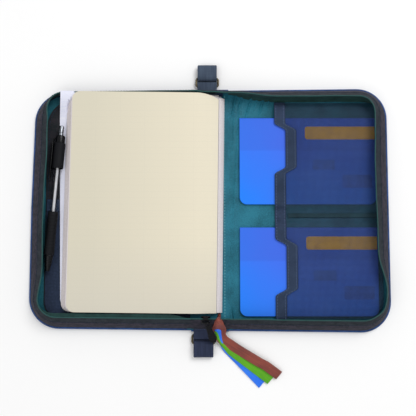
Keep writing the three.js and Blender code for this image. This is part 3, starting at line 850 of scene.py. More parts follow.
def rounded_loop(x0, y0, x1, y1, radii, inset=0.0, steps=7):
    """A rectangle's outline with its own radius at each corner, from the lower left one anticlockwise."""
    x0, y0, x1, y1 = x0 + inset, y0 + inset, x1 - inset, y1 - inset
    corners = ((x0, y0, 1, 1, 180), (x1, y0, -1, 1, 270), (x1, y1, -1, -1, 0), (x0, y1, 1, -1, 90))
    points = []
    for (x, y, sx, sy, start), radius in zip(corners, radii):
        r = max(radius - inset, 0.15 * MM)
        for k in range(steps + 1):
            a = math.radians(start + 90 * k / steps)
            points.append((x + sx * r + r * math.cos(a), y + sy * r + r * math.sin(a)))
    return points


def stack_parts(levels):
    """Loft parts of a plate from its outlines at rising heights."""
    return loft_parts([[Vector((x, y, z)) for x, y in loop] for z, loop in levels])


def plate(name, rectangle, radii, z0, z1, look, edge=0.2 * MM):
    """A flat plate with rounded corners and softened edges."""
    edge = min(edge, (z1 - z0) / 2.5)
    levels = [(z0, edge), (z0 + edge, 0.0), (z1 - edge, 0.0), (z1, edge)]
    parts = [stack_parts([(z, rounded_loop(*rectangle, radii, inset)) for z, inset in levels])]
    return join_lofts(name, parts, LOOKS[look])


# A board's section at its turned edge, as (height, inset from the outline) in mm, up to its top
BOARD_LEVELS = [(0.0, 5.0), (0.25, 3.9), (0.8, 3.3), (1.7, 3.2), (2.2, 3.4)]
BOARD_TOP_INSET = 4.4 * MM


def board_loop(side, inset):
    """One half's outline, drawn in by inset but straight along the fold."""
    outer, depth, radius = HALF_WIDTH - inset, HALF_DEPTH - inset, CORNER_RADIUS - inset
    if side > 0:
        return rounded_loop(FOLD, -depth, outer, depth, [0, radius, radius, 0], 0, 14)
    return rounded_loop(-outer, -depth, -FOLD, depth, [radius, 0, 0, radius], 0, 14)


def build_boards():
    """The cloth-covered boards of both halves and the spine, with turned edges."""
    for side, name in ((-1, "left"), (1, "right")):
        levels = [(z * MM, board_loop(side, inset * MM)) for z, inset in BOARD_LEVELS]
        levels.append((high(f"{name}_cover").z, board_loop(side, BOARD_TOP_INSET)))
        piece = join_lofts(f"{name}_board", [stack_parts(levels)], LOOKS["navy_cloth"], 60)
        place(settle(piece), f"{name}_half", "navy_cloth", f"{name}_cover")
    piece = plate("spine_board", footprint("spine_panel"), [0.6 * MM] * 4, low("spine_panel").z,
                  high("spine_panel").z, "navy_cloth", 0.6 * MM)
    place(piece, "spine", "navy_cloth", "spine_panel")
    for end, name in ((1, "top"), (-1, "bottom")):
        rim = [Vector((x, end * (HALF_DEPTH - 0.6 * MM), 2.6 * MM)) for x in np.linspace(-FOLD, FOLD, 18)]
        place(tube(f"spine_{name}_cord", rim, 1.2 * MM, LOOKS["piping"]), "spine", "piping")


def edge_stitches(name, body, slot, start, end, z, look="thread"):
    place(stitches(name, [Vector((*start, z)), Vector((*end, z))], look), body, slot)


SLEEVE_RADII = [16 * MM, 0, 0, 26 * MM]
POCKET_RADII = [15 * MM, 0, 0, 0]
# How far the left pockets' sheets reach below their nodes, onto the lining
SUNK = 0.2 * MM


def build_left_pockets():
    """The sleeve with its hem stitches, and the lower pocket with its band and two rows of stitches."""
    top = high("sleeve_panel").z
    sleeve = footprint("sleeve_panel")
    piece = plate("sleeve_sheet", sleeve, SLEEVE_RADII, low("sleeve_panel").z - SUNK, top, "sleeve_cloth")
    place(piece, "left_half", "sleeve_cloth", "sleeve_panel")
    hem = rounded_loop(*sleeve, SLEEVE_RADII, 2.2 * MM, 12)
    left_hem = [Vector((x, y, top + 0.1 * MM)) for x, y in hem[-13:] + hem[:13]]
    place(stitches("sleeve_stitches", left_hem, "binding"), "left_half", "sleeve_cloth")
    piece = plate("lower_pocket_sheet", footprint("lower_pocket"), POCKET_RADII, low("lower_pocket").z - SUNK,
                  high("lower_pocket").z, "pocket_cloth")
    place(piece, "left_half", "navy_cloth", "lower_pocket")
    band_low, band_high = low("lower_pocket_binding"), high("lower_pocket_binding")
    piece = plate("lower_pocket_band", footprint("lower_pocket_binding"), [0.4 * MM] * 4, band_low.z,
                  band_high.z, "binding", 0.3 * MM)
    place(piece, "left_half", "binding", "lower_pocket_binding")
    for i, y in enumerate((band_low.y + 1.5 * MM, band_high.y - 1.5 * MM)):
        edge_stitches(f"lower_pocket_stitches_{i}", "left_half", "binding", (band_low.x + 1 * MM, y),
                      (band_low.x + 30 * MM, y), band_high.z)


# The right half's pockets

MOUTH_X = 63 * MM
NOTCH_DEPTH = 10.8 * MM
NOTCHES = ((33 * MM, 84 * MM), (-85 * MM, -29 * MM))
EDGE_WIDTH = 10.7 * MM
DIVIDER_Y = centre("pocket_divider").y
POCKET_ENDS = (-109.4 * MM, 105 * MM)


def mouth_x(y):
    """Where the pocket's mouth lies: it steps back in a thumb notch at each pocket."""
    deepest = 0.0
    for start, end in NOTCHES:
        inside = min(max(min(y - start, end - y) / (8 * MM), 0), 1)
        deepest = max(deepest, inside * inside * (3 - 2 * inside))
    return MOUTH_X + NOTCH_DEPTH * deepest


def pocket_share(y):
    """0 where the pocket sheet is sewn down and 1 where it lies over a passbook."""
    upper = min(y - DIVIDER_Y - 4 * MM, 105 * MM - y) / (6 * MM)
    lower = min(DIVIDER_Y - 4 * MM - y, y + 110.2 * MM) / (5 * MM)
    share = min(max(upper, lower, 0), 1)
    return share * share * (3 - 2 * share)


def pocket_z(x, y):
    """The pocket sheet's lower face: over the passbooks, and sewn down at its ends and its divider."""
    return 3.7 * MM + 3.1 * MM * pocket_share(y) + 0.12 * MM * noise.noise(Vector((x * 30, y * 30, 5)))


def pocket_outer_x(y):
    past = max(abs(y) - (HALF_DEPTH - CORNER_RADIUS), 0)
    return HALF_WIDTH - CORNER_RADIUS + math.sqrt((CORNER_RADIUS - 8.4 * MM) ** 2 - past * past)


def pocket_strip(name, ys, start_of, end_of, lift, thickness, look, columns=30, edge=0.0):
    rings = []
    for y in ys:
        xs = np.linspace(start_of(y), end_of(y), columns)
        upper = [Vector((x, y, pocket_z(x, y) + lift + thickness - (edge if k in (0, columns - 1) else 0)))
                 for k, x in enumerate(xs)]
        lower = [Vector((x, y, pocket_z(x, y) + lift + (edge if k in (0, columns - 1) else 0)))
                 for k, x in enumerate(xs)]
        rings.append(upper + lower[::-1])
    return loft(name, rings, LOOKS[look], sharp=50)


def build_right_pockets():
    """The net over both pockets, the notched binding at their mouth with its stitches, and the divider."""
    ys = np.linspace(*POCKET_ENDS, 190)
    piece = pocket_strip("pocket_net", ys, lambda y: mouth_x(y) + 1 * MM, pocket_outer_x, 0, 0.45 * MM,
                         "tinted_mesh", 50)
    place(piece, "right_half", "tinted_mesh", "pocket_mesh")
    piece = pocket_strip("pocket_binding", ys, mouth_x, lambda y: mouth_x(y) + EDGE_WIDTH, 0.75 * MM,
                         0.85 * MM, "binding", 9, 0.25 * MM)
    place(piece, "right_half", "binding", "pocket_edge")
    for i, offset in enumerate((1.5 * MM, EDGE_WIDTH - 1.5 * MM)):
        path = []
        for y in ys[2:-2]:
            x = mouth_x(y) + offset
            path.append(Vector((x, y, pocket_z(x, y) + 1.62 * MM)))
        place(stitches(f"pocket_stitches_{i}", path, "thread"), "right_half", "binding")
    seam_low, seam_high = low("pocket_divider"), high("pocket_divider")
    piece = plate("divider_band", footprint("pocket_divider"), [0.5 * MM] * 4, seam_low.z - 0.3 * MM,
                  seam_high.z, "seam_cloth", 0.15 * MM)
    place(piece, "right_half", "binding", "pocket_divider")
    for i, y in enumerate((seam_low.y + 1 * MM, seam_high.y - 1 * MM)):
        edge_stitches(f"divider_stitches_{i}", "right_half", "binding", (seam_low.x + 1 * MM, y),
                      (seam_high.x - 1 * MM, y), seam_high.z, "seam_cloth")


# Passbooks

CARD_THICKNESS = 0.42 * MM
PASSBOOK_RADII = [7 * MM, 7 * MM, 0.4 * MM, 0.4 * MM]
LEAF_COUNT = 4
LABEL_LEFT = 93 * MM
# The label's and the print patches' places along Y are from the passbook's lower edge
LABEL_LOW, LABEL_HIGH = 64 * MM, 76.6 * MM
PRINT_PATCHES = ((129, 16, 158, 29), (100, 34, 122, 44))


def passbook_fold(cover_low, cover_high, fold_y, radius):
    """Loft parts of the card where it turns round its folded edge."""
    middle_z = (cover_low.z + cover_high.z) / 2
    turn = [math.radians(90 - 180 * k / 12) for k in range(13)]
    rings = []
    for x in (cover_low.x, cover_high.x):
        ring = []
        for size, angles in ((radius, turn), (radius - CARD_THICKNESS, turn[::-1])):
            ring += [Vector((x, fold_y + size * math.cos(a), middle_z + size * math.sin(a))) for a in angles]
        rings.append(ring)
    return loft_parts(rings)


def build_passbook_cover(body, cover_low, cover_high):
    radius = (cover_high.z - cover_low.z) / 2
    fold_y = cover_high.y - radius
    flat = (cover_low.x, cover_low.y, cover_high.x, fold_y)
    edge = 0.1 * MM
    leaves = []
    for z in (cover_low.z, cover_high.z - CARD_THICKNESS):
        levels = ((z, edge), (z + edge, 0.0), (z + CARD_THICKNESS - edge, 0.0), (z + CARD_THICKNESS, edge))
        leaves.append(stack_parts([(at, rounded_loop(*flat, PASSBOOK_RADII, inset)) for at, inset in levels]))
    leaves.append(passbook_fold(cover_low, cover_high, fold_y, radius))
    place(join_lofts(body + "_card", leaves, LOOKS["passbook_card"]), body, "passbook_card", body + "_cover")


def build_passbook_leaves(body):
    pages_low, pages_high = low(body + "_pages"), high(body + "_pages")
    pitch = (pages_high.z - pages_low.z) / LEAF_COUNT
    sheets = []
    for k in range(LEAF_COUNT):
        drift = 0.25 * MM * random.random()
        rectangle = (pages_low.x + drift, pages_low.y + drift, pages_high.x - drift, pages_high.y)
        loop = rounded_loop(*rectangle, PASSBOOK_RADII)
        z = pages_low.z + k * pitch
        sheets.append(stack_parts([(z, loop), (z + 0.8 * pitch, loop)]))
    place(join_lofts(body + "_leaves", sheets, LOOKS["white_paper"]), body, "white_paper", body + "_pages")


def build_passbook(name):
    """A folded card with its leaves, a plain label and patches in place of print."""
    body = name + "_passbook"
    cover_low, cover_high = low(body + "_cover"), high(body + "_cover")
    build_passbook_cover(body, cover_low, cover_high)
    build_passbook_leaves(body)
    top = cover_high.z
    rectangle = (LABEL_LEFT, cover_low.y + LABEL_LOW, cover_high.x - 0.5 * MM, cover_low.y + LABEL_HIGH)
    label = plate(body + "_label", rectangle, [2.5 * MM, 0.5 * MM, 0.5 * MM, 2.5 * MM], top, top + 0.12 * MM,
                  "label", 0.03 * MM)
    place(label, body, "passbook_card")
    for i, (x0, y0, x1, y1) in enumerate(PRINT_PATCHES):
        rectangle = (x0 * MM, cover_low.y + y0 * MM, x1 * MM, cover_low.y + y1 * MM)
        patch = plate(f"{body}_print_{i}", rectangle, [1 * MM] * 4, top, top + 0.06 * MM, "print_ink",
                      0.02 * MM)
        place(patch, body, "passbook_card")


# The notebook

NOTEBOOK_MIDDLE = Vector((-64 * MM, 6.2 * MM, 0))
NOTEBOOK_TURN = math.radians(-0.7)
PAGE_HALF = 106.8 * MM
BLOCK_BOTTOM = 6.7 * MM
# The open page's height along X, and the section of the gutter beside it, as (x, z) in mm
PAGE_TOP = [(-78, 16.3), (20, 16.3), (40, 16.2), (52, 15.8), (62, 15.0), (67, 14.2), (71, 13.0), (71.5, 12.8)]
GUTTER = [(71.7, 12.4), (72.6, 12.0), (74, 10.9), (75.6, 9.2), (76.8, 7.6), (77, 6.75), (71.9, 6.75)]
LAYER_COUNT = 9
PAGE_CORNER = 7.5 * MM
CARD_LEFT = -143.5 * MM
CARD_TOP = 114 * MM
CARD_LIFT = 10.8 * MM
CARD_RADIUS = 12 * MM


def in_notebook(x, y, z):
    point = Matrix.Rotation(NOTEBOOK_TURN, 3, "Z") @ Vector((x, y, z))
    return point + NOTEBOOK_MIDDLE


def top_height(x):
    """The open page's height at a place along X: flat, then falling to the notebook's spine."""
    xs, zs = zip(*[(a * MM, b * MM) for a, b in PAGE_TOP])
    return float(np.interp(x, xs, zs))


def page_layer(left, right, low_share, high_share, half, wave=0.0, seed=0.0):
    """Loft parts of a layer of leaves between two shares of the block's height."""
    near = left + PAGE_CORNER * (1 - np.cos(np.linspace(0, math.pi / 2, 9)))
    flat = np.linspace(left + PAGE_CORNER, 38 * MM, 26)[1:]
    falling = np.linspace(38 * MM, right, 24)[1:]
    xs = np.concatenate([near, flat, falling])
    rings = []
    for x in xs:
        cut = PAGE_CORNER - math.sqrt(max(PAGE_CORNER ** 2 - max(PAGE_CORNER - (x - left), 0) ** 2, 0))
        fall = min(max((x - 50 * MM) / (21 * MM), 0), 1) * high_share
        y0, y1 = -half + cut + 0.5 * MM * fall, half - cut - 5.5 * MM * fall * fall
        ys = np.linspace(y0, y1, 40)
        rise = top_height(x) - BLOCK_BOTTOM
        upper, lower = [], []
        for y in ys:
            sag = wave * noise.noise(Vector((x * 22, y * 13, seed)))
            upper.append(in_notebook(x, y, BLOCK_BOTTOM + rise * high_share + sag))
            lower.append(in_notebook(x, y, BLOCK_BOTTOM + rise * low_share + sag))
        rings.append(upper + lower[::-1])
    return loft_parts(rings)


def squash_notebook(piece, slot, *nodes):
    place(piece, "left_half", slot, *nodes)
    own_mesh(piece)


def build_leaves():
    """The closed leaves, each layer a little out of line, with the ruled page on top of them."""
    layers = []
    for k in range(LAYER_COUNT):
        share = k / LAYER_COUNT
        left = (-77 + 6.3 * share) * MM + 0.5 * MM * random.uniform(-1, 1)
        half = PAGE_HALF - 0.2 * MM - 0.5 * MM * random.random()
        layers.append(page_layer(left, 71.4 * MM, share, share + 0.86 / LAYER_COUNT, half))
    leaves = join_lofts("notebook_leaves", layers, LOOKS["white_paper"])
    squash_notebook(leaves, "white_paper", "notebook_pages")
    page = page_layer(-70.9 * MM, 71.2 * MM, 1.0, 1.03, PAGE_HALF, 0.25 * MM, 3.0)
    squash_notebook(join_lofts("notebook_page", [page], LOOKS["page_paper"]), "page_paper", "notebook_leaf")


def build_gutter():
    rings = []
    for y in np.linspace(1 * MM - PAGE_HALF, PAGE_HALF - 4 * MM, 30):
        rings.append([in_notebook(x * MM, y, z * MM) for x, z in GUTTER])
    piece = loft("notebook_gutter", rings, LOOKS["white_paper"], sharp=50)
    squash_notebook(piece, "white_paper", "notebook_endpaper")


def build_back_card():
    """The back card: its free upper left corner rises over the wall.

    Its left edge runs from CARD_LEFT at the foot to the left of its node's box at the top.
    """
    card_low, card_high = low("notebook_cover"), high("notebook_cover")

    def extent(x):
        past = max(CARD_RADIUS - (x - CARD_LEFT), 0)
        share = (x - CARD_LEFT) / (card_high.x - CARD_LEFT)
        start = card_low.y + CARD_RADIUS - math.sqrt(CARD_RADIUS ** 2 - past ** 2)
        return start, CARD_TOP - 3.5 * MM * share

    def height(x, y):
        start = ease(y, [(100 * MM, 134.5 * MM), (111 * MM, 128 * MM)])
        rise = ease(y, [(86 * MM, 0.0), (CARD_TOP, 1.0)]) * ease(-x, [(start, 0.0), (start + 3.5 * MM, 1.0)])
        return card_high.z + CARD_LIFT * rise

    rounded = CARD_LEFT + CARD_RADIUS * (1 - np.cos(np.linspace(0, math.pi / 2, 16)))
    xs = np.concatenate([rounded, np.linspace(CARD_LEFT + CARD_RADIUS, card_high.x, 12)[1:]])
    card = sheet_over("notebook_back_card", xs, extent, height, card_high.z - card_low.z, "cover_card", 80)
    for vertex in card.data.vertices:
        upward = (vertex.co.y - card_low.y) / (CARD_TOP - card_low.y)
        outward = (card_high.x - vertex.co.x) / (card_high.x - CARD_LEFT)
        lifted = max(vertex.co.z - card_high.z, 0) / CARD_LIFT
        vertex.co.x += 2.6 * MM * lifted - (CARD_LEFT - card_low.x) * upward * outward
    squash_notebook(card, "cover_card", "notebook_cover")


# The pen

PEN_START = Vector((-144.3, 80, 12.4)) * MM
PEN_END = Vector((-155.4, -61, 12.4)) * MM


def pen_frame():
    along = (PEN_END - PEN_START).normalized()
    up = Vector((0, 0, 1))
    return along, up, up.cross(along)


def turned(name, profile, look, closed=False, sides=32, sharp=30):
    """A piece turned on the pen's axis, from rows of radius and distance from the button, in mm."""
    along, up, side = pen_frame()
    rings = []
    for radius, reach in profile:
        middle = PEN_START + along * (reach * MM)
        rings.append([middle + radius * MM * (math.cos(a) * side + math.sin(a) * up)
                      for a in (2 * math.pi * k / sides for k in range(sides))])
    return loft(name, rings, LOOKS[look], closed, sharp)


# The pen's turned parts, as rows of radius and distance from the button's end, in mm
PEN_LENGTH = (PEN_END - PEN_START).length / MM
BARREL_ROWS = [(3.1, 10.6), (3.6, 10.6), (4.1, 11.2), (4.2, 13), (4.2, 82), (4.05, 84), (3.1, 84)]
TIP_ROWS = [
    (1.5, 126.3), (4.2, 126.3), (4.3, 127), (4.0, 128.5), (3.6, 131), (3.5, 131.4), (3.7, 131.8), (3.1, 136),
    (2.4, 139), (1.9, PEN_LENGTH - 0.4), (1.7, PEN_LENGTH), (1.5, PEN_LENGTH),
]
BUTTON_ROWS = [
    (0.3, 0), (1.6, 0.05), (2.1, 0.5), (2.35, 1.4), (2.4, 6.5), (2.2, 6.8), (2.4, 7.1), (2.5, 12), (0.3, 12),
]
REFILL_ROWS = [
    (0.3, 12.3), (1.25, 12.3), (1.25, 84), (1.25, 132), (0.95, 133), (0.9, 137), (0.5, 138.6), (0.1, 139),
]
COLLAR_ROWS = [
    (2.7, 9.6), (3.6, 9.7), (4.3, 10.4), (4.5, 11.4), (4.5, 16.6), (4.25, 16.8), (4.22, 10.55), (2.7, 10.5),
]
# The clip, as distance from the pen's axis, distance from the button's end and half width, in mm
CLIP_ROWS = [
    (4.6, 12.6, 2.0), (6.0, 13.2, 2.0), (6.7, 16, 2.0), (6.7, 35, 1.9), (6.5, 50, 1.6), (6.0, 53.5, 1.2),
    (6.2, 54.6, 0.8),
]
# The elastic loop round the barrel and down to the half, as (to the left, up) in mm
LOOP_ROUTE = [
    (9.5, -6.9), (7, -6.6), (5.2, -4.4), (5.05, 0), (3.6, 3.6), (0, 5.05), (-3.6, 3.6), (-5.05, 0),
    (-3.6, -3.6), (0, -5.2), (4.2, -6.0), (9.5, -7.5),
]


def grip_rows():
    """The rubber grip: waisted, with eleven shallow grooves."""
    rows = [(2.0, 84.3), (4.5, 84.3), (4.9, 85.2)]
    for k in range(11):
        start = 88 + 3.1 * k
        swell = 4.9 - 0.25 * math.sin(math.pi * k / 10)
        rows += [(swell, start), (swell - 0.2, start + 0.3), (swell - 0.2, start + 0.7), (swell, start + 1.0)]
    return rows + [(4.9, 124.6), (4.5, 126), (2.0, 126)]


def build_pen():
    """The turned parts from the barrel to the collar, then the clip and the elastic loop."""
    for name, rows, look, hollow, body, slot, *nodes in (
        ("pen_tube", BARREL_ROWS, "clear_plastic", True, "pen", "clear_plastic", "pen_barrel"),
        ("pen_rubber", grip_rows(), "black_rubber", True, "pen", "black_rubber", "pen_grip"),
        ("pen_nose", TIP_ROWS, "black_metal", True, "pen", "pen_steel", "pen_tip"),
        ("pen_push_button", BUTTON_ROWS, "pen_steel", False, "pen_plunger", "pen_steel", "pen_button"),
        ("pen_ink_tube", REFILL_ROWS, "refill", False, "pen_plunger", "refill", "pen_refill"),
        ("pen_collar", COLLAR_ROWS, "black_metal", True, "pen", "black_metal"),
    ):
        place(turned(name, rows, look, hollow), body, slot, *nodes)
    along, up, side = pen_frame()
    outward = side if side.x < 0 else -side
    path, halves = [], []
    for out, reach, width in smooth(CLIP_ROWS, 1.5):
        path.append(PEN_START + along * (reach * MM) + outward * (out * MM))
        halves.append(up * (width * MM))
    clip = loft("pen_pocket_clip", strip_rings(path, halves, 0.7 * MM, 0.15 * MM), LOOKS["black_metal"])
    place(clip, "pen", "black_metal", "pen_clip")
    build_pen_loop(along, up, outward)


def build_pen_loop(along, up, outward):
    """An elastic loop round the barrel, its two ends sewn flat to the half beside the pen."""
    middle = PEN_START + along * (29.5 * MM)
    route = smooth([(x, z, 0.0) for x, z in LOOP_ROUTE], 1.0)
    path = [middle + outward * (x * MM) + up * (z * MM) for x, z, _ in route]
    rings = strip_rings(path, [along * (12.5 * MM)] * len(path), 0.6 * MM)
    place(loft("pen_elastic", rings, LOOKS["black_rubber"]), "left_half", "black_rubber", "pen_loop")


# The spine's webbing, rings, slider and ribbons

WEBBING_HALF = (high("handle_top_end").x - low("handle_top_end").x) / 2
# A webbing end from the spine out round its ring and back, as (distance along Y, height) in mm
END_ROUTE = [
    (116.8, 0.8), (128, 0.8), (139, 0.8), (141.6, 1.7), (142.4, 3.7), (141.6, 5.7), (139, 6.5), (134, 6.7),
    (131, 6.5), (128.9, 5.8), (127.6, 4.3), (127.4, 2.4),
]
TAB_ROUTE = [(110, 4.8), (118, 4.8), (125.6, 4.8)]
GRIP_Z = 0.72 * MM
RING_RADII = [2.5 * MM] * 4


def webbing(name, path, look, thickness=1.25 * MM):
    half = Vector((WEBBING_HALF, 0, 0))
    return loft(name, strip_rings(path, [half] * len(path), thickness, 0.12 * MM), LOOKS[look])


def route_at(x, end, route, step):
    """Points along a route of (distance along Y, height) in mm, at x and at one end of the spine."""
    return [Vector(row) * MM for row in smooth([(x / MM, end * y, z) for y, z in route], step)]


def build_handle():
    """At each end of the spine: a webbing end, its tab and stitches, the ring and half of the grip."""
    # The handle's lower end takes the darker webbing copy, as painted shade.
    for end, name, look in ((1, "top", "webbing"), (-1, "bottom", "shaded_lower_webbing")):
        x = centre(f"handle_{name}_end").x
        piece = webbing(f"webbing_{name}", route_at(x, end, END_ROUTE, 1.2), look)
        place(piece, "spine", "webbing", f"handle_{name}_end")
        tab_low, tab_high = low(f"{name}_tab"), high(f"{name}_tab")
        piece = webbing(f"ring_tab_{name}", route_at(x, end, TAB_ROUTE, 1.5), look, tab_high.z - tab_low.z)
        place(piece, "spine", "webbing", f"{name}_tab")
        for i, y in enumerate((113.5, 116.2)):
            seam = [Vector((x + k * MM, end * y * MM, tab_high.z + 0.15 * MM)) for k in (-8.3, 8.3)]
            piece = stitches(f"tab_stitches_{name}_{i}", seam, "thread", 1.3 * MM, 2.1 * MM)
            place(piece, "spine", "webbing")
        build_ring(name)
        build_grip(name, end, x, look)


def build_grip(name, end, x, look):
    """Half of the grip, which rides the spine at its end and the handle towards its middle."""
    start = Vector((x, end * 117.6 * MM, GRIP_Z))
    middle = Vector(((centre("handle_top_end").x + centre("handle_bottom_end").x) / 2, 0, GRIP_Z))
    path = [start.lerp(middle, t) for t in np.linspace(0, 1, 50)]
    grip = webbing(f"webbing_grip_{name}", path, look, 1.2 * MM)
    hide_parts("handle_grip")
    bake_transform(grip)


def build_ring(name):
    """A wire ring that fills its node's box."""
    x0, y0, x1, y1 = footprint(f"ring_{name}")
    ring_low, ring_high = low(f"ring_{name}"), high(f"ring_{name}")
    wire = (ring_high.z - ring_low.z) / 2
    corners = rounded_loop(x0 + wire, y0 + wire, x1 - wire, y1 - wire, RING_RADII, 0, 8)
    loop = [Vector((x, y, (ring_low.z + ring_high.z) / 2)) for x, y in corners]
    piece = tube(f"webbing_ring_{name}", loop, wire, LOOKS["ring_metal"], 16, True)
    place(piece, f"{name}_ring", "ring_metal", f"ring_{name}")


SLIDER_MIDDLE = Vector((-4, -106, 19.2)) * MM
SLIDER_TILT = math.atan2(14.8, 9.6)
PULL_HINGE = Vector((-2.4, -111.4, 21)) * MM
PULL_TIP = Vector((4, -128, 9.6)) * MM
# The slider's plates from above, the post between them and the arch over them, in mm in its own frame
SLIDER_PLATE = [
    (-4.5, -3.9), (-3.6, -5.0), (0, -5.2), (3.6, -5.0), (4.5, -3.9), (3.9, -1.5), (4.3, 0.6), (2.6, 1.6),
    (0, 1.9), (-2.6, 1.6), (-4.3, 0.6), (-3.9, -1.5),
]
SLIDER_POST = [(x * 0.55, 1.1 + 0.6 * y) for x, y in ((-4, -0.6), (4, -0.6), (4, 0.7), (0, 1.2), (-4, 0.7))]
SLIDER_ARCH = [
    (-3, -1.5, 2.2), (-2.9, -1.5, 3.3), (-1.8, -1.5, 4.0), (1.8, -1.5, 4.0), (2.9, -1.5, 3.3), (3, -1.5, 2.2),
]
# The pull tab's outline, as (share of the way from its link to its tip, half width in mm)
PULL_ROWS = [
    (0.04, 1.6), (0.12, 2.3), (0.3, 2.6), (0.5, 3.1), (0.7, 3.75), (0.86, 3.5), (0.95, 2.4), (1.0, 0.9),
]


def build_slider():
    """Two plates with softened edges and a post between them, the arch over them, and the pull."""
    turn = Matrix.Translation(SLIDER_MIDDLE) @ Matrix.Rotation(SLIDER_TILT, 4, "X")
    rows = smooth([(x, y, 0.0) for x, y in SLIDER_PLATE + SLIDER_PLATE[:1]], 0.5)
    curve = [(x, y) for x, y, _ in rows[:-1]]
    parts = []
    for z0, z1 in ((-2.3, -1.35), (1.35, 2.3)):
        levels = [(z0, 0.93), (z0 + 0.2, 1.0), (z1 - 0.2, 1.0), (z1, 0.93)]
        parts.append(stack_parts([(z, [(x * size, -1.6 + (y + 1.6) * size) for x, y in curve])
                                  for z, size in levels]))
    parts.append(stack_parts([(-1.4, SLIDER_POST), (1.4, SLIDER_POST)]))
    moved = [([turn @ (p * MM) for p in points], faces, uvs) for points, faces, uvs in parts]
    place(join_lofts("slider_body", moved, LOOKS["black_metal"]), "slider", "black_metal", "zip_slider")
    arch = [turn @ (Vector(row) * MM) for row in smooth(SLIDER_ARCH, 0.5)]
    half = turn.to_3x3() @ Vector((0, 0.7 * MM, 0))
    rings = strip_rings(arch, [half] * len(arch), 0.7 * MM)
    place(loft("slider_arch", rings, LOOKS["black_metal"]), "slider", "black_metal", "zip_bridge")
    build_pull()


def build_pull():
    """A leaf-shaped tab with a raised rim, on a small link round the slider's arch."""
    along = PULL_TIP - PULL_HINGE
    length = along.length
    along.normalize()
    across = Vector((along.y, -along.x, 0)).normalized()
    up = across.cross(along)
    if up.z < 0:
        up = -up
    rows = smooth([(t, w, 0.0) for t, w in PULL_ROWS], 0.06)
    path = [PULL_HINGE + along * (length * t) for t, _, _ in rows]
    halves = [across * (w * MM) for _, w, _ in rows]
    leaf = loft_parts(strip_rings(path, halves, 0.8 * MM))
    inner = [(p + up * 0.35 * MM, h * 0.86) for p, h in zip(path, halves)]
    rim_path = [p + h for p, h in inner] + [p - h for p, h in reversed(inner)]
    rim = loft_parts(tube_rings(rim_path, 0.42 * MM, 8, True))
    link_middle = PULL_HINGE + up * 0.1 * MM
    link = [link_middle + along * (2.1 * MM * math.cos(a)) + across * (1.7 * MM * math.sin(a))
            for a in (2 * math.pi * k / 20 for k in range(20))]
    ring = loft_parts(tube_rings(link, 0.4 * MM, 8, True))
    place(join_lofts("pull_tab", [leaf, rim, ring], LOOKS["black_metal"]), "pull", "black_metal", "zip_pull")


RIBBON_HALF = 4.6 * MM
RIBBON_THICKNESS = 0.35 * MM
BUNCHED = 0.12
FANNED_WIDTH = Vector((0.65, 0.76, 0))
# The real brown ribbon is folded on itself at the wall. Here it is one layer, drawn wider there.
RIBBON_ROWS = {
    "ribbon_blue": [
        (9.2, -98.6, 4.6, 0, 0.15), (9.0, -102.5, 4.6, 0, 0.12), (8.3, -104.8, 7.0, 0, 0.12),
        (7.9, -104.9, 16.5, 0, 0.15), (7.9, -106.6, 20.6, 0, 0.15), (8.0, -110, 17.6, 0, 0.4),
        (7.4, -114.6, 10.8, 0, 0.55), (7.2, -116.6, 10.2, 0, 0.85), (8.0, -118.8, 9.6, 0, 0.62),
        (9.2, -121.8, 7.6, 0.1, 0.2), (10.4, -126, 5.4, 0.5, 0.15), (12.0, -130, 4.2, 0.8, 0.35),
        (15.5, -134.5, 2.7, 1, 0.8), (31, -149, 1.1, 1, 1), (49.8, -168.5, 0.6, 1, 1),
    ],
    "ribbon_green": [
        (9.2, -98.3, 5.1, 0, 0.15), (9.0, -102.2, 5.1, 0, 0.12), (8.4, -104.6, 7.6, 0, 0.12),
        (7.9, -104.7, 17.5, 0, 0.15), (7.9, -106.8, 21.6, 0, 0.15), (8.2, -110, 17.0, 0, 0.35),
        (7.2, -115.6, 9.8, 0, 0.45), (6.6, -119.2, 9.0, 0, 0.5), (7.2, -122.6, 7.6, 0.1, 0.3),
        (9.2, -127, 5.2, 0.5, 0.25), (12.6, -131.2, 4.2, 0.9, 0.4), (19, -136, 3.2, 1, 0.9),
        (37, -149, 2.4, 1, 1), (57.9, -164.7, 1.5, 1, 1),
    ],
    "ribbon_brown": [
        (9.2, -98.0, 5.6, 0, 0.15), (9.0, -101.9, 5.6, 0, 0.12), (8.5, -104.4, 8.2, 0, 0.12),
        (8.0, -104.5, 18.5, 0, 0.16), (8.0, -107.0, 22.8, 0, 0.3), (8.3, -110, 19.6, 0, 0.8),
        (8.6, -113.8, 13.4, 0, 1.3), (8.8, -117.2, 8.6, 0, 1.46), (9.2, -121.0, 6.4, 0.15, 1.3),
        (12.2, -126, 4.6, 0.6, 1.15), (18.5, -130.2, 3.6, 1, 1.05), (28, -136.2, 3.6, 1, 1),
        (46.5, -147.2, 4.2, 1, 1), (53.5, -151.0, 3.4, 1, 1), (66, -160.2, 2.5, 1, 1),
    ],
}


def build_ribbons():
    """Three ribbons, bunched at the zip, then opening over the wall and fanning out on the floor."""
    for name, rows in RIBBON_ROWS.items():
        path, sides, shares = [], [], []
        for x, y, z, turn, share in smooth(rows, 1.2):
            path.append(Vector((x, y, z)) * MM)
            sides.append(Vector((1, 0, 0)).lerp(FANNED_WIDTH, min(max(turn, 0), 1)).normalized())
            shares.append(max(share, BUNCHED))
        rings = curled_rings(path, sides, shares, RIBBON_HALF, RIBBON_THICKNESS)
        piece = loft(name + "_strip", rings, LOOKS[name], sharp=60)
        place(piece, "left_half", name, name)
        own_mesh(piece)


# Floor, lights and camera

FLOOR_Z = -0.4 * MM
WORLD_STRENGTH = 0.55
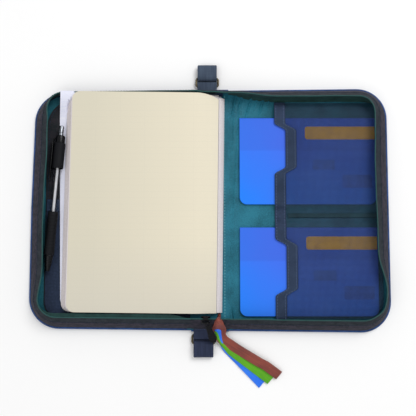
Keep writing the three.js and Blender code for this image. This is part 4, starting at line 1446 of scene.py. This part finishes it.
# Name, place, size in metres and power in watts
LIGHTS = (("key", (0.7, 0.8, 1.5), 0.9, 15), ("fill", (-0.7, -0.8, 1.6), 1.6, 7))
IMAGE_SIDE = 416
CAMERA_ANGLE = 30
CAMERA_ELEVATION = 84
CAMERA_DISTANCE = 0.76


def build_studio():
    material, tree, shader = new_look("studio_floor", 0.9, Specular_IOR_Level=0.1)
    where = node(tree, "TexCoord").outputs["Object"]
    speck = limited(tree, grain(tree, where, 3), 0.3, 0.7)
    tree.links.new(mixed(tree, speck, rgb("fdfdfd"), rgb("ffffff")), shader.inputs["Base Color"])
    bpy.ops.mesh.primitive_plane_add(size=8, location=(0, 0, FLOOR_Z))
    floor = bpy.context.object
    floor.name = "studio_floor"
    floor.data.materials.append(material)
    world = bpy.data.worlds.new("studio")
    world.use_nodes = True
    background = world.node_tree.nodes["Background"]
    background.inputs["Color"].default_value = (1, 1, 1, 1)
    background.inputs["Strength"].default_value = WORLD_STRENGTH
    bpy.context.scene.world = world
    for name, spot, size, power in LIGHTS:
        light = bpy.data.lights.new(name, "AREA")
        light.size = size
        light.energy = power
        lamp = bpy.data.objects.new(name, light)
        lamp.location = spot
        lamp.rotation_euler = (-Vector(spot)).to_track_quat("-Z", "Y").to_euler()
        bpy.context.scene.collection.objects.link(lamp)
    bpy.context.scene.view_settings.view_transform = "Standard"


def build_camera():
    data = bpy.data.cameras.new("camera")
    data.angle = math.radians(CAMERA_ANGLE)
    data.clip_start = 0.01
    data.shift_x = -2 / IMAGE_SIDE
    data.shift_y = 1 / IMAGE_SIDE
    camera = bpy.data.objects.new("camera", data)
    elevation = math.radians(CAMERA_ELEVATION)
    camera.location = (0, -CAMERA_DISTANCE * math.cos(elevation), CAMERA_DISTANCE * math.sin(elevation))
    camera.rotation_euler = (math.pi / 2 - elevation, 0, 0)
    bpy.context.scene.collection.objects.link(camera)
    bpy.context.scene.camera = camera


build_camera()
build_studio()
build_boards()
for wall_side in (-1, 1):
    build_wall(wall_side)
build_spine_walls()
build_linings()
build_fold_cloth()
build_left_pockets()
build_right_pockets()
for passbook in ("upper", "lower"):
    build_passbook(passbook)
build_leaves()
build_gutter()
build_back_card()
build_pen()
build_handle()
build_slider()
build_ribbons()
